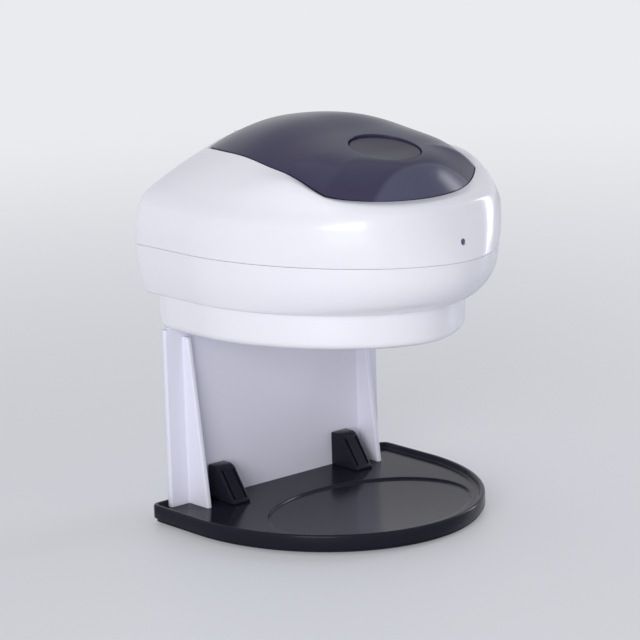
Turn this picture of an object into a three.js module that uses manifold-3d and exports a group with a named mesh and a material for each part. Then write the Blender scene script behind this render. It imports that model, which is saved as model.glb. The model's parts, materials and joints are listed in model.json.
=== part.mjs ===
// Automatic soap dispenser: a domed dispenser head with a hinged smoky lid, held by a white
// back panel that stands in a black drip tray. Millimetres, +Z up. The front faces -Y, and
// in this file's own places y = 0 is the flat rear plane of the head.
import * as THREE from 'three';
import { mergeVertices } from 'three/addons/utils/BufferGeometryUtils.js';
import Module from 'manifold-3d';

// ---------- driving dimensions ----------

// clearances and small sizes that many pieces share
const seamGap = 0.3; // between two fixed mouldings
const runGap = 0.06; // radial running clearance of a pin in its bore
const cutOver = 3; // how far a cutting body runs past a face
const weldDistance = 0.001;
const roundSides = 24;
const smallSides = 12;

// clear height between the tray's floor and the underside of the head
const handSpace = 93.4;

// head: D-shaped levels with a flat rear, straight sides up to `mid` and a curved front
const HEAD = {
  half: 80, mid: -41.1, front: -155.5, round: 1.84, bandHigh: 25.7, wallHigh: 26.3,
  stepSideInset: 5.2, stepFrontInset: 18.4,
  shoulderSideInset: 8.5, shoulderFrontInset: 7.3, shoulderRound: 2.3,
  wall: 2.4, ledge: 2.4, cavityRun: 5,
};
// height share, side inset share and front inset share of each level
const bandLevelShares = [[0, 1, 1], [0.15, 0.72, 0.66], [0.36, 0.4, 0.34], [0.6, 0.16, 0.12], [1, 0, 0]];
const wallLevelShares = [[0, 0, 0], [0.3, 0.08, 0.26], [0.6, 0.27, 0.55], [0.86, 0.52, 0.85], [1, 1, 1]];
// dome: the centre line's rise above the shoulder at shares of the way to its front
const DOME = { rise: 33.6 };
const domeDistanceShares = [0, 0.1687, 0.3374, 0.5061, 0.668, 0.8232, 0.9447, 1];
const domeRiseShares = [0.7054, 0.9375, 1, 0.8397, 0.6797, 0.5162, 0.234, 0];
// how square its cross section is at shares of the way to its front
const domeArchPlaceShares = [0, 0.4, 0.7, 1];
const domeArchShares = [1.49, 3.03, 5.24, 10.7];
const domeSpineShare = 0.8;
const domeRingShares = [0.03, 0.08, 0.16, 0.27, 0.4, 0.55, 0.7, 0.85, 1];
const sideSteps = 4;
const arcSteps = 13;

const LID = { skin: 2.2, gap: 0.5, rearY: -8, rearSlot: 1.3 };
// the lid's outline and the pulls of its curves, as shares of the head's half width and depth
const lidShares = {
  rear: 0.4625, rearPull: [0.649, 0.1806], sidePull: [0.6576, 0.481], kink: [0.6849, 0.656],
  kinkPull: [0.6625, 0.8483], tipPull: [0.3658, 0.9167],
};
const HINGE = {
  y: -4.8, under: 3.784, pinRadius: 1, pinReach: 15.2, knuckleRadius: 1.9, knuckleHalf: 10.6,
  notchHalf: 11.1, notchRear: -2.2, neckUnder: 1.3, neckOver: 1.8, neckRise: 1.5, neckFront: -12,
  neckStep: -7.2,
  bossOuter: 16.6, bossFront: -6.6, bossRear: -2.9, bossUnder: 2.7, bossOver: 1.3,
};
const BUTTON = {
  y: -99.1, radius: 17.6, gap: 0.45, recess: 0.9, skin: 2.4, flangeRadius: 20, flangeDrop: 2.7, flange: 1.3,
  stemRadius: 3, stemProud: 1.3, seatRadius: 6.6,
};
const RETAINER = {
  outer: 23.5, inner: 21.2, tankGap: 2, floor: 1.8, high: 16.6, stemHole: 3.6, under: 0.3,
};
const BUTTON_SPRING = { high: 5.4, radius: 5, wire: 0.8, turns: 3, steps: 12, gap: 0.2 };

const SKIRT = {
  sideInset: 8.4, flare: 0.8, back: -10, frontInset: 22.8, round: 1.75, high: 25.5, shown: 18.5,
  wall: 2.5, floor: 2.5, edge: 4,
};
const skirtEdgeShares = [[0, 1], [0.3, 0.3], [1, 0]];
const REAR = {
  thick: 2.6, lip: 2.4, lipGap: 0.5, keyX: 32, keyHigh: 12.9, keyHead: 4.5, keySlot: 2.1, keyRise: 9,
  screwInset: 22, screwHigh: 12.9, lugFront: -12, lugHigh: 8, lugHalf: 4,
};
const SCREW = { shank: 1.5, head: 2.9, headHigh: 2, hole: 1.75, pilot: 1.6, sink: 0.6 };
const REAR_SCREW = { length: 10 };
const PANEL_SCREW = { x: 28, high: 10.6, length: 6.6, bossRadius: 5 };
const BASE_SCREW = {
  inset: 7.6, rearY: -28, frontY: -98, seatHigh: 14.6, length: 12.8, postRadius: 4.3, pocket: 3.2,
  lugGap: 0.4, lugThick: 4.4, lugHalf: 4.2,
};

const TRAY = {
  sideRoom: 9.6, back: -3.7, mid: -40.8, front: -133.4, round: 2, bottom: 1.2, top: 10.3, floorTop: 7.5,
  rim: 2.4, floor: 2.4, lipInset: 1.4, lipTop: 3, lipBlend: 0.4, edge: 0.7, hollowInset: 3.6,
  recessY: -81.8, recessSide: 22.9, recessHalfY: 42.1, recess: 1.2,
};
const FOOT = { radius: 6, rearY: -18, rearRoom: 13.6, frontInset: 33.4, frontRoom: 6.5 };
const PANEL = {
  front: -9.9, thick: 3.5, shoulderGap: 0.6, tongueHalf: 40, topGap: 7.1,
  finInset: 12.9, fin: 3, finBottom: 15, finTop: 3, finGap: 2.9,
};
const CLIP = {
  width: 11, finGap: 9.4, high: 18, topDeep: 8.5, bottomDeep: 19.5, lip: 1.6, lipHigh: 2, rib: 2.8,
  channel: 1.6, channelRun: 2, corner: 2.4, screwDeep: 7, screwLength: 12,
};

const TANK = {
  sideRoom: 12, back: -13.5, frontRoom: 16.5, round: 1.9, lugGap: 1.3, rise: 4.6, wall: 1.8,
  shoulder: 10, shoulderDrop: 10, flange: 6.4, flangeGap: 0.1, flangeThick: 2, edge: 3,
  neckRadius: 18, neckBore: 15.5, neckHigh: 10, spigotRadius: 4, spigotBore: 2.5, spigotDrop: 2.9,
};
const LEDGE = { under: 5.1, thick: 2.4, inset: 7 };
const CAP = {
  wall: 3.2, frontRoom: 2.5, grip: 1.2, grips: 12, gap: 0.4, bottomGap: 1, sealRoom: 1.2, top: 2.2,
};
const SEAL = { gap: 0.2 };

const BOX = { sideRoom: 12.1, rear: -13.6, high: 16.5, wall: 1.5, midWall: 1.6 };
const BATTERY = {
  radius: 7.1, nubRadius: 2.7, nub: 1, inner: 1.4, endRoom: 2.8, rowSide: 1.8, rowGap: 1.6, high: 7.4,
};
const CONTACT = { plate: 0.5, bumpRadius: 3, bump: 2, reach: 6.2, edge: 1.4, seat: 0.1 };
const DOOR = {
  sideInset: 0.6, rearInset: 1.8, frontInset: 1.6, gap: 0.4, thick: 2.3, pivot: 0.9, pivotRun: 1.8,
};

const MOTOR = {
  y: -62.6, high: 8.6, radius: 10, flat: 7.6, front: -25.7, sideRoom: 18.4, shaft: 1, shaftTip: -16.9,
  shaftRoot: 5, bossRadius: 3, boss: 1.6,
};
const TRAIN = {
  module: 0.8, pinionTeeth: 10, reductionTeeth: 28, smallTeeth: 10, wheelTeeth: 24, addendumShare: 0.9,
  rootShare: 1.2, toothShare: 0.8, pressureAngle: 20,
  pinionFrom: -22, pinionTo: -16.9, reductionFrom: -21.6, reductionTo: -17.2, smallTo: -10,
  wheelFrom: -15.3, wheelTo: -10.3, shaft: 1.5,
};
const PUMP = {
  y: -96, high: 12.6, module: 1.5, teeth: 8, gearFrom: -3.7, gearTo: 4.7, cavityFrom: -4, faceX: 5,
  from: -7, radius: 9.8, cavityGap: 0.35, cover: 3, port: 2.2, inletGap: 0.5, inletRadius: 4,
  outletRadius: 3.2, flange: 2.4, flangeRear: -64.5, footFront: -86, pinRadius: 1.5, bearing: 2,
};
const BRACKET = {
  from: -25.4, to: -23.4, rear: -54, front: -111, high: 24.6, postRadius: 2, postInset: 2,
  postLow: 5.2, postHigh: 19.8, rearPostInset: 3, rearPostLow: 3.6,
};
const TUBE = { wall: 1.9, fit: 0.1, bottomGap: 0.4, topGap: 0.2 };
const NOZZLE = {
  flangeRadius: 9.4, flange: 1.8, radius: 6.4, holeGap: 0.5, drop: 4.5, tipRadius: 3.6, bore: 2.4,
  socket: 1.4, taperDrop: 2.1,
};
const VALVE = { radius: 2.25, bore: 0.7, rise: 0.6, high: 4 };

const BOARD = {
  innerX: 13, sideRoom: 2.4, switchRoom: 5, front: -109, rear: -57, high: 3.6, thick: 1.6,
  postRadius: 2.4, postInset: 3.4,
};
const SENSOR = {
  y: -116, half: 13, deep: 5, flange: 1.6, flangeThick: 1.2, sunk: 0.4, ledX: 7, ledRadius: 2.5, ledHigh: 8,
  ledRim: 2.9, ledRimHigh: 1, gap: 0.15,
};
const SWITCH = {
  sideRoom: 0.845, y: -64, half: 10, deep: 5, high: 7, pocket: 2.1, slotGap: 0.4,
  plateHalf: 6, plateDeep: 3.4, plate: 1.6, knobHalf: 3, knobDeep: 2.2, knobProud: 0.4, travel: 4, lift: 0.2,
};
const LED = { rise: 9.2, radius: 2.5, gap: 0.1, sunk: 0.2, long: 6, flangeRadius: 3.6, flange: 1.2 };

// ---------- sizes and heights that follow ----------

const skirtBottom = TRAY.floorTop + handSpace;
const skirtFloor = skirtBottom + SKIRT.floor;
const skirtRimZ = skirtBottom + SKIRT.high;
const stepZ = skirtBottom + SKIRT.shown;
const partingZ = stepZ + HEAD.bandHigh;
const shoulderZ = partingZ + HEAD.wallHigh;
const aboveCrown = shoulderZ + DOME.rise + cutOver;
const ledgeBottom = partingZ - LEDGE.under;
const ledgeTop = ledgeBottom + LEDGE.thick;
const baseLugBottom = skirtRimZ + BASE_SCREW.lugGap;
const baseLugTop = baseLugBottom + BASE_SCREW.lugThick;
const tankBottom = baseLugTop + TANK.lugGap;
const tankTop = shoulderZ + TANK.rise;
const retainerFloorZ = tankTop + RETAINER.tankGap + RETAINER.floor;
const buttonSeatZ = retainerFloorZ + BUTTON_SPRING.high;
const capRadius = TANK.neckRadius + CAP.gap + CAP.wall;
const neckY = BUTTON.y + RETAINER.outer + CAP.frontRoom + capRadius;

const skirtHalf = HEAD.half - SKIRT.sideInset;
const panelHalf = skirtHalf;
const panelNeckHalf = skirtHalf - SKIRT.wall - seamGap;
const finX = panelHalf - PANEL.finInset;
const trayHalf = panelHalf + TRAY.sideRoom;
const boxHalf = skirtHalf - SKIRT.wall - BOX.sideRoom;
const boxInner = boxHalf - BOX.wall;
const boxTop = skirtFloor + BOX.high;
const cellLength = boxInner - BOX.midWall / 2 - BATTERY.inner - BATTERY.endRoom;
const cellZ = skirtFloor + BATTERY.high;
const rearRow = BOX.rear - BOX.wall - BATTERY.rowSide - BATTERY.radius;
const frontRow = rearRow - 2 * BATTERY.radius - BATTERY.rowGap;
const boxFront = frontRow - BATTERY.radius - BATTERY.rowSide - BOX.wall;
const doorHalf = boxHalf - DOOR.sideInset;
const doorRear = BOX.rear - DOOR.rearInset;
const doorFront = boxFront + DOOR.frontInset;
const motorRear = SKIRT.wall + MOTOR.sideRoom - skirtHalf;
const pumpZ = skirtFloor + PUMP.high;
const inletTop = tankBottom - TANK.spigotDrop - PUMP.inletGap;
const ledZ = partingZ + LED.rise;

// ---------- geometry helpers ----------

const wasm = await Module();
wasm.setup();

// a closed geometry as a solid, with faces turned outward
function solidOf(geometry) {
  const bare = geometry.clone();
  bare.deleteAttribute('normal');
  bare.deleteAttribute('uv');
  const merged = mergeVertices(bare, weldDistance);
  const places = merged.attributes.position.array;
  const corners = [];
  let volume = 0;
  for (let i = 0; i < merged.index.count; i += 3) {
    const [a, b, c] = [0, 1, 2].map((k) => merged.index.getX(i + k));
    if (a === b || b === c || c === a) continue;
    corners.push(a, b, c);
    const [p, q, r] = [a, b, c].map((k) => new THREE.Vector3().fromArray(places, 3 * k));
    volume += p.dot(q.cross(r));
  }
  if (volume < 0) corners.reverse();
  return new wasm.Manifold(new wasm.Mesh({
    numProp: 3,
    vertProperties: new Float32Array(places),
    triVerts: new Uint32Array(corners),
  }));
}

function geometryOf(solid) {
  const mesh = solid.getMesh();
  const geometry = new THREE.BufferGeometry();
  geometry.setAttribute('position', new THREE.BufferAttribute(new Float32Array(mesh.vertProperties), 3));
  geometry.setIndex(new THREE.BufferAttribute(new Uint32Array(mesh.triVerts), 1));
  geometry.computeVertexNormals();
  return geometry;
}

const join = (first, ...others) => others.reduce((whole, other) => whole.add(other), first);
const cut = (first, ...others) => others.reduce((whole, other) => whole.subtract(other), first);

// a box between two places on each axis
function block([x0, x1], [y0, y1], [z0, z1]) {
  const geometry = new THREE.BoxGeometry(Math.abs(x1 - x0), Math.abs(y1 - y0), Math.abs(z1 - z0));
  return solidOf(geometry.translate((x0 + x1) / 2, (y0 + y1) / 2, (z0 + z1) / 2));
}

// a round bar along one axis; `place` gives the other two coordinates
function bar(axis, radius, [from, to], place, sides = roundSides, endRadius = radius) {
  const geometry = new THREE.CylinderGeometry(endRadius, radius, Math.abs(to - from), sides);
  const middle = (from + to) / 2;
  if (axis === 'x') geometry.rotateZ(-Math.PI / 2).translate(middle, place[0], place[1]);
  if (axis === 'y') geometry.translate(place[0], middle, place[1]);
  if (axis === 'z') geometry.rotateX(Math.PI / 2).translate(place[0], place[1], middle);
  return solidOf(geometry);
}

// the radius of a faceted bore that clears a round pin all round
const boreFor = (radius, gap, sides) => (radius + gap) / Math.cos(Math.PI / sides);

// a turned body about a vertical line at [x, y]; the profile is [radius, z] pairs
function turned(profile, [x, y], sides = roundSides) {
  const points = profile.map(([r, z]) => new THREE.Vector2(r, z));
  return solidOf(new THREE.LatheGeometry(points, sides).rotateX(Math.PI / 2).translate(x, y, 0));
}

const planeXY = new THREE.Matrix4();
const planeYZ = new THREE.Matrix4().makeBasis(
  new THREE.Vector3(0, 1, 0), new THREE.Vector3(0, 0, 1), new THREE.Vector3(1, 0, 0));
const planeXZ = new THREE.Matrix4().makeBasis(
  new THREE.Vector3(1, 0, 0), new THREE.Vector3(0, 0, 1), new THREE.Vector3(0, -1, 0));

// a flat outline drawn in a plane and pushed along that plane's normal
function pushed(shape, depth, plane = planeXY, steps = smallSides) {
  return solidOf(new THREE.ExtrudeGeometry(shape, { depth, bevelEnabled: false, curveSegments: steps })
    .applyMatrix4(plane));
}

const around = (middle, half) => [middle - half, middle + half];
const outline = (points) => new THREE.Shape(points.map(([x, y]) => new THREE.Vector2(x, y)));
const mirrored = (solid) => solid.mirror([1, 0, 0]);

// half width of a D-shaped plan at a given y
function halfAt(plan, y) {
  const share = Math.min(Math.max((plan.mid - y) / (plan.mid - plan.front), 0), 1);
  return plan.half * (1 - share ** plan.round) ** (1 / plan.round);
}

// the points of a D-shaped level from the rear left corner round the front to the rear right
function ring(plan, z) {
  const left = [];
  for (let i = 0; i < sideSteps; i += 1) {
    left.push([plan.half, THREE.MathUtils.lerp(plan.back, plan.mid, i / sideSteps)]);
  }
  for (let i = 0; i < arcSteps; i += 1) {
    const turn = (i / arcSteps) * (Math.PI / 2);
    left.push([
      plan.half * Math.cos(turn) ** (2 / plan.round),
      plan.mid + (plan.front - plan.mid) * Math.sin(turn) ** (2 / plan.round),
    ]);
  }
  return [
    ...left.map(([x, y]) => new THREE.Vector3(-x, y, z)),
    new THREE.Vector3(0, plan.front, z),
    ...left.reverse().map(([x, y]) => new THREE.Vector3(x, y, z)),
  ];
}

const shrunk = (plan, by) => ({
  ...plan, half: plan.half - by, back: plan.back - by, front: plan.front + by,
});

// a skin through closed rings with equal counts, closed flat at both ends
function loft(rings) {
  const count = rings[0].length;
  const corners = [];
  const cap = (points, up) => {
    const flat = points.map((p) => new THREE.Vector2(p.x, p.y));
    THREE.ShapeUtils.triangulateShape(flat, []).forEach(([a, b, c]) => {
      const turn = flat[b].clone().sub(flat[a]).cross(flat[c].clone().sub(flat[a]));
      corners.push(...((turn > 0) === up ? [a, b, c] : [a, c, b]).map((k) => points[k]));
    });
  };
  for (let k = 1; k < rings.length; k += 1) {
    for (let i = 0; i < count; i += 1) {
      const j = (i + 1) % count;
      corners.push(rings[k - 1][i], rings[k - 1][j], rings[k][j]);
      corners.push(rings[k - 1][i], rings[k][j], rings[k][i]);
    }
  }
  cap(rings[0], false);
  const top = rings[rings.length - 1];
  if (top.some((p) => Math.abs(p.x) > weldDistance)) cap(top, true);
  return solidOf(new THREE.BufferGeometry().setFromPoints(corners));
}

// a D-shaped prism with levels given as [plan, z]
const stacked = (levels) => loft(levels.map(([plan, z]) => ring(plan, z)));

// a machine screw pointing along +Y or +Z from its head's seat
function screw(axis, seat, length, place, way = 1) {
  return join(
    bar(axis, SCREW.head, [seat - way * SCREW.headHigh, seat], place, smallSides),
    bar(axis, SCREW.shank, [seat - (way * SCREW.headHigh) / 2, seat + way * length], place, smallSides),
  );
}

// ---------- the head's outer form ----------

const centreLine = new THREE.CubicInterpolant(
  domeDistanceShares, domeRiseShares, 1, new Float64Array(1));
const archLine = new THREE.CubicInterpolant(
  domeArchPlaceShares, domeArchShares, 1, new Float64Array(1));

const headPlan = (sideInset, frontInset, round) => ({
  half: HEAD.half - sideInset, back: 0, mid: HEAD.mid, front: HEAD.front + frontInset, round,
});
const shoulderPlan = headPlan(HEAD.shoulderSideInset, HEAD.shoulderFrontInset, HEAD.shoulderRound);
const centreRise = (y) => (
  DOME.rise * centreLine.evaluate(THREE.MathUtils.clamp(y / shoulderPlan.front, 0, 1))[0]);

function domeHeight(x, y) {
  const half = halfAt(shoulderPlan, y);
  const across = half > weldDistance ? Math.min(Math.abs(x) / half, 1) : 1;
  const arch = archLine.evaluate(THREE.MathUtils.clamp(y / shoulderPlan.front, 0, 1))[0];
  return shoulderZ + (half > weldDistance ? centreRise(y) * (1 - across ** arch) : 0);
}

// levels of the wall between the parting line and the shoulder, as [plan, z]
const wallLevels = wallLevelShares.map(([up, side, front]) => [
  headPlan(
    side * HEAD.shoulderSideInset, front * HEAD.shoulderFrontInset,
    THREE.MathUtils.lerp(HEAD.round, HEAD.shoulderRound, up)),
  THREE.MathUtils.lerp(partingZ, shoulderZ, up),
  up,
]);
const bandLevels = bandLevelShares.map(([up, side, front]) => [
  headPlan(side * HEAD.stepSideInset, front * HEAD.stepFrontInset, HEAD.round),
  THREE.MathUtils.lerp(stepZ, partingZ, up),
]);

// the wall and dome above `bottom`, moved inward by `skin`; `rear` is where its flat back lies
function headForm(skin, bottom, rear) {
  const base = wallLevels[0][0];
  const fitted = (plan) => ({ ...shrunk(plan, skin), back: rear });
  const rings = [ring(fitted(base), bottom)];
  wallLevels.forEach(([plan, z, up]) => rings.push(ring(fitted(plan), z - skin * up)));
  const outer = ring(shoulderPlan, shoulderZ);
  const inner = ring(fitted(shoulderPlan), shoulderZ);
  domeRingShares.forEach((share) => {
    rings.push(inner.map((point, i) => {
      const spine = outer[i].y * domeSpineShare;
      const x = outer[i].x * (1 - share);
      const y = THREE.MathUtils.lerp(outer[i].y, spine, share);
      return new THREE.Vector3(
        point.x * (1 - share),
        point.y < 0 ? THREE.MathUtils.lerp(point.y, spine, share) : point.y,
        domeHeight(x, y) - skin,
      );
    }));
  });
  return loft(rings);
}

const headOuter = headForm(0, partingZ + seamGap / 2, 0);
const headFront = (z) => {
  const up = (z - partingZ) / (shoulderZ - partingZ);
  const k = wallLevelShares.findIndex(([share]) => share > up);
  const [low, high] = [wallLevelShares[k - 1], wallLevelShares[k]];
  const share = THREE.MathUtils.mapLinear(up, low[0], high[0], low[2], high[2]);
  return HEAD.front + share * HEAD.shoulderFrontInset;
};

// plan outline of the lid, with its rear edge at `rear`
function lidPrism(inset, rear) {
  const right = ([across, along]) => [across * HEAD.half - inset, along * HEAD.front];
  const left = (spot) => [-right(spot)[0], right(spot)[1]];
  const tipY = lidShares.tipPull[1] * HEAD.front + inset;
  const tipX = lidShares.tipPull[0] * HEAD.half;
  const rearHalf = lidShares.rear * HEAD.half - inset;
  const shape = new THREE.Shape();
  shape.moveTo(rearHalf, rear);
  shape.bezierCurveTo(...right(lidShares.rearPull), ...right(lidShares.sidePull), ...right(lidShares.kink));
  shape.bezierCurveTo(...right(lidShares.kinkPull), tipX, tipY, 0, tipY);
  shape.bezierCurveTo(-tipX, tipY, ...left(lidShares.kinkPull), ...left(lidShares.kink));
  shape.bezierCurveTo(...left(lidShares.sidePull), ...left(lidShares.rearPull), -rearHalf, rear);
  return pushed(shape, aboveCrown - partingZ).translate([0, 0, partingZ]);
}

// the dome's skin between two depths below its outer surface
const domeLayer = (from, to) => cut(
  headOuter.translate([0, 0, -from]), headOuter.translate([0, 0, -to]));

const hingeZ = domeHeight(0, HINGE.y) - HINGE.under;
const panelScrewZ = stepZ + PANEL_SCREW.high;

// ---------- stand: drip tray, feet, back panel, clips ----------

const trayPlan = { half: trayHalf, back: TRAY.back, mid: TRAY.mid, front: TRAY.front, round: TRAY.round };
const trayHollow = shrunk(trayPlan, TRAY.hollowInset);
const trayUnder = TRAY.floorTop - TRAY.floor;
const clipOuterX = finX - PANEL.fin / 2 - CLIP.finGap;
const clipX = clipOuterX - CLIP.width / 2;
const clipY = PANEL.front - CLIP.screwDeep;

function dripTray() {
  const lipPlan = shrunk(trayPlan, TRAY.lipInset);
  const body = stacked([
    [lipPlan, TRAY.bottom], [lipPlan, TRAY.lipTop], [trayPlan, TRAY.lipTop + TRAY.lipBlend],
    [trayPlan, TRAY.top - TRAY.edge], [shrunk(trayPlan, TRAY.edge), TRAY.top],
  ]);
  const well = shrunk(trayPlan, TRAY.rim);
  const recess = bar('z', 1, [TRAY.floorTop - TRAY.recess, TRAY.top], [0, 0], 2 * roundSides)
    .scale([trayHalf - TRAY.recessSide, TRAY.recessHalfY, 1]).translate([0, TRAY.recessY, 0]);
  const holes = [clipX, -clipX].map((x) => bar(
    'z', SCREW.hole, [trayUnder - cutOver, TRAY.top], [x, clipY], smallSides));
  return cut(
    body,
    stacked([[well, TRAY.floorTop], [well, TRAY.top + cutOver]]),
    stacked([[trayHollow, TRAY.bottom - cutOver], [trayHollow, trayUnder]]),
    recess,
    ...holes,
  );
}

// a rubber pad at a given y that keeps `room` between its middle and the tray's inner wall
function trayFoot(y, room) {
  const [before, after] = [y + FOOT.radius, y - FOOT.radius].map((place) => halfAt(trayHollow, place));
  const slope = (before - after) / (2 * FOOT.radius);
  return bar('z', FOOT.radius, [0, trayUnder], [halfAt(trayHollow, y) - room * Math.hypot(1, slope), y]);
}

function backPanel() {
  const rear = PANEL.front + PANEL.thick;
  const shoulder = stepZ - PANEL.shoulderGap;
  const plate = block(
    [-panelHalf, panelHalf], [PANEL.front, rear], [TRAY.floorTop, skirtBottom - PANEL.shoulderGap]);
  const neck = block(
    [-panelNeckHalf, panelNeckHalf], [PANEL.front, rear], [skirtBottom - PANEL.thick, shoulder]);
  const tongue = block(
    [-PANEL.tongueHalf, PANEL.tongueHalf], [PANEL.front, rear],
    [shoulder - PANEL.thick, partingZ - PANEL.topGap]);
  const root = PANEL.front + PANEL.thick / 2;
  const finHigh = skirtBottom - PANEL.finGap;
  const finShape = outline([
    [root, TRAY.floorTop], [root, finHigh], [PANEL.front - PANEL.finTop, finHigh],
    [PANEL.front - PANEL.finBottom, TRAY.floorTop],
  ]);
  const fin = pushed(finShape, PANEL.fin, planeYZ);
  const holes = [PANEL_SCREW.x, -PANEL_SCREW.x].map((x) => bar(
    'y', boreFor(SCREW.shank, runGap, smallSides), [PANEL.front - cutOver, rear + cutOver],
    [x, panelScrewZ], smallSides));
  return cut(
    join(
      plate, neck, tongue,
      fin.translate([finX - PANEL.fin / 2, 0, 0]), fin.translate([-finX - PANEL.fin / 2, 0, 0])),
    ...holes,
  );
}

// black wedge that hooks the panel to the tray, with a channel down its slanted front
function panelClip() {
  const low = TRAY.floorTop;
  const high = low + CLIP.high;
  const back = PANEL.front - seamGap;
  const slope = (CLIP.bottomDeep - CLIP.topDeep) / CLIP.high;
  const shape = outline([
    [back, low], [back, high], [back - CLIP.topDeep + CLIP.corner, high],
    [back - CLIP.topDeep - slope * CLIP.corner, high - CLIP.corner],
    [back - CLIP.bottomDeep, low + CLIP.lipHigh], [back - CLIP.bottomDeep - CLIP.lip, low + CLIP.lipHigh],
    [back - CLIP.bottomDeep - CLIP.lip, low],
  ]);
  const channel = outline([
    [back - CLIP.topDeep + CLIP.channel, high - CLIP.channelRun],
    [back - CLIP.topDeep - CLIP.channelRun, high - CLIP.channelRun],
    [back - CLIP.bottomDeep - CLIP.channelRun, low + CLIP.lipHigh],
    [back - CLIP.bottomDeep + CLIP.channel, low + CLIP.lipHigh],
  ]);
  const inner = clipX - CLIP.width / 2;
  return cut(
    pushed(shape, CLIP.width, planeYZ).translate([inner, 0, 0]),
    pushed(channel, CLIP.width - 2 * CLIP.rib, planeYZ).translate([inner + CLIP.rib, 0, 0]),
    bar('z', boreFor(SCREW.shank, runGap, smallSides), [low - cutOver, low + CLIP.screwLength],
      [clipX, clipY], smallSides),
  );
}

const clipScrew = () => screw('z', trayUnder, CLIP.screwLength, [clipX, clipY]);

// ---------- housing: upper shell, lower shell, base cover, rear cover ----------

const bothSides = (solid) => [solid, mirrored(solid)];
const rearScrewX = HEAD.half - REAR.screwInset;
const rearScrewZ = partingZ + REAR.screwHigh;

function upperShell() {
  const hollow = headForm(HEAD.wall, partingZ - cutOver, HEAD.cavityRun);
  const opening = join(
    lidPrism(0, LID.rearY + LID.rearSlot),
    block([-HINGE.notchHalf, HINGE.notchHalf], [LID.rearY, HINGE.notchRear], [partingZ, aboveCrown]));
  const hingeBoss = block(
    [HINGE.notchHalf, HINGE.bossOuter], [HINGE.bossFront, HINGE.bossRear],
    [hingeZ - HINGE.bossUnder, hingeZ + HINGE.bossOver]).intersect(headOuter);
  const lug = block(
    [rearScrewX - REAR.lugHalf, HEAD.half], [REAR.lugFront, -REAR.thick - seamGap],
    [rearScrewZ - REAR.lugHigh / 2, rearScrewZ + REAR.lugHigh / 2])
    .intersect(headForm(HEAD.wall / 2, partingZ, 0));
  const pilot = bar(
    'y', SCREW.pilot, [REAR.lugFront - cutOver, 0], [rearScrewX, rearScrewZ], smallSides);
  const pinBore = bar(
    'x', boreFor(HINGE.pinRadius, runGap, smallSides), [-HINGE.pinReach, HINGE.pinReach], [HINGE.y, hingeZ],
    smallSides);
  const ledHole = bar(
    'y', boreFor(LED.radius, LED.gap, smallSides),
    [headFront(ledZ) - cutOver, headFront(ledZ) + HEAD.wall + cutOver], [0, ledZ], smallSides);
  return cut(
    join(cut(headOuter, hollow, opening), ...bothSides(hingeBoss), ...bothSides(lug)),
    pinBore, ledHole, ...bothSides(pilot),
  );
}

const skirtPlan = {
  half: skirtHalf, back: SKIRT.back, mid: HEAD.mid, front: HEAD.front + SKIRT.frontInset, round: SKIRT.round,
};
const skirtTop = { ...skirtPlan, half: skirtHalf + SKIRT.flare };
// how far a piece may reach sideways inside the skirt's wall at a given y
const skirtRoom = (y) => halfAt(skirtPlan, y) - SKIRT.wall;
const switchX = skirtRoom(SWITCH.y - SWITCH.deep) - SWITCH.sideRoom - SWITCH.half;
const boardOuterX = Math.min(
  skirtRoom(BOARD.front) - BOARD.sideRoom, switchX - SWITCH.half - BOARD.switchRoom);
const baseScrews = [BASE_SCREW.rearY, BASE_SCREW.frontY].map(
  (y) => [halfAt(skirtPlan, y) - BASE_SCREW.inset, y]);
const screwSeatZ = skirtFloor + BASE_SCREW.seatHigh;

function lowerShell() {
  const levels = bandLevels.map(([plan, z], k) => [
    plan, k === bandLevels.length - 1 ? z - seamGap / 2 : z]);
  const opened = (plan, by) => ({ ...shrunk(plan, by), back: HEAD.cavityRun });
  const top = opened(bandLevels.at(-1)[0], HEAD.wall);
  const within = bandLevels.slice(0, -1).map(([plan, z]) => [
    opened(plan, HEAD.wall), Math.max(z, stepZ + HEAD.ledge)]);
  const through = opened(bandLevels.at(-1)[0], LEDGE.inset);
  const lugs = baseScrews.map(([x, y]) => block(
    [x - BASE_SCREW.lugHalf, HEAD.half], [y - BASE_SCREW.lugHalf, y + BASE_SCREW.lugHalf],
    [baseLugBottom, baseLugTop]));
  const pilots = baseScrews.map(([x, y]) => bar(
    'z', SCREW.pilot, [baseLugBottom - cutOver, baseLugTop + cutOver], [x, y], smallSides));
  const outer = stacked(levels);
  const midWall = stacked(levels.map(([plan, z]) => [shrunk(plan, HEAD.wall / 2), z]));
  const shell = cut(
    outer,
    stacked([...within, [top, ledgeBottom]]),
    stacked([[through, ledgeBottom - cutOver], [through, ledgeTop + cutOver]]),
    stacked([[top, ledgeTop], [top, partingZ + cutOver]]),
    block([-top.half, top.half], [-REAR.thick - seamGap, HEAD.cavityRun], [ledgeBottom, ledgeTop]),
    stacked([
      [opened(skirtTop, -seamGap), stepZ - cutOver],
      [opened(skirtTop, -seamGap), stepZ + HEAD.ledge + weldDistance]]),
  );
  const inside = (lug) => lug.intersect(midWall);
  return cut(join(shell, ...lugs.flatMap(bothSides).map(inside)), ...pilots.flatMap(bothSides));
}

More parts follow.
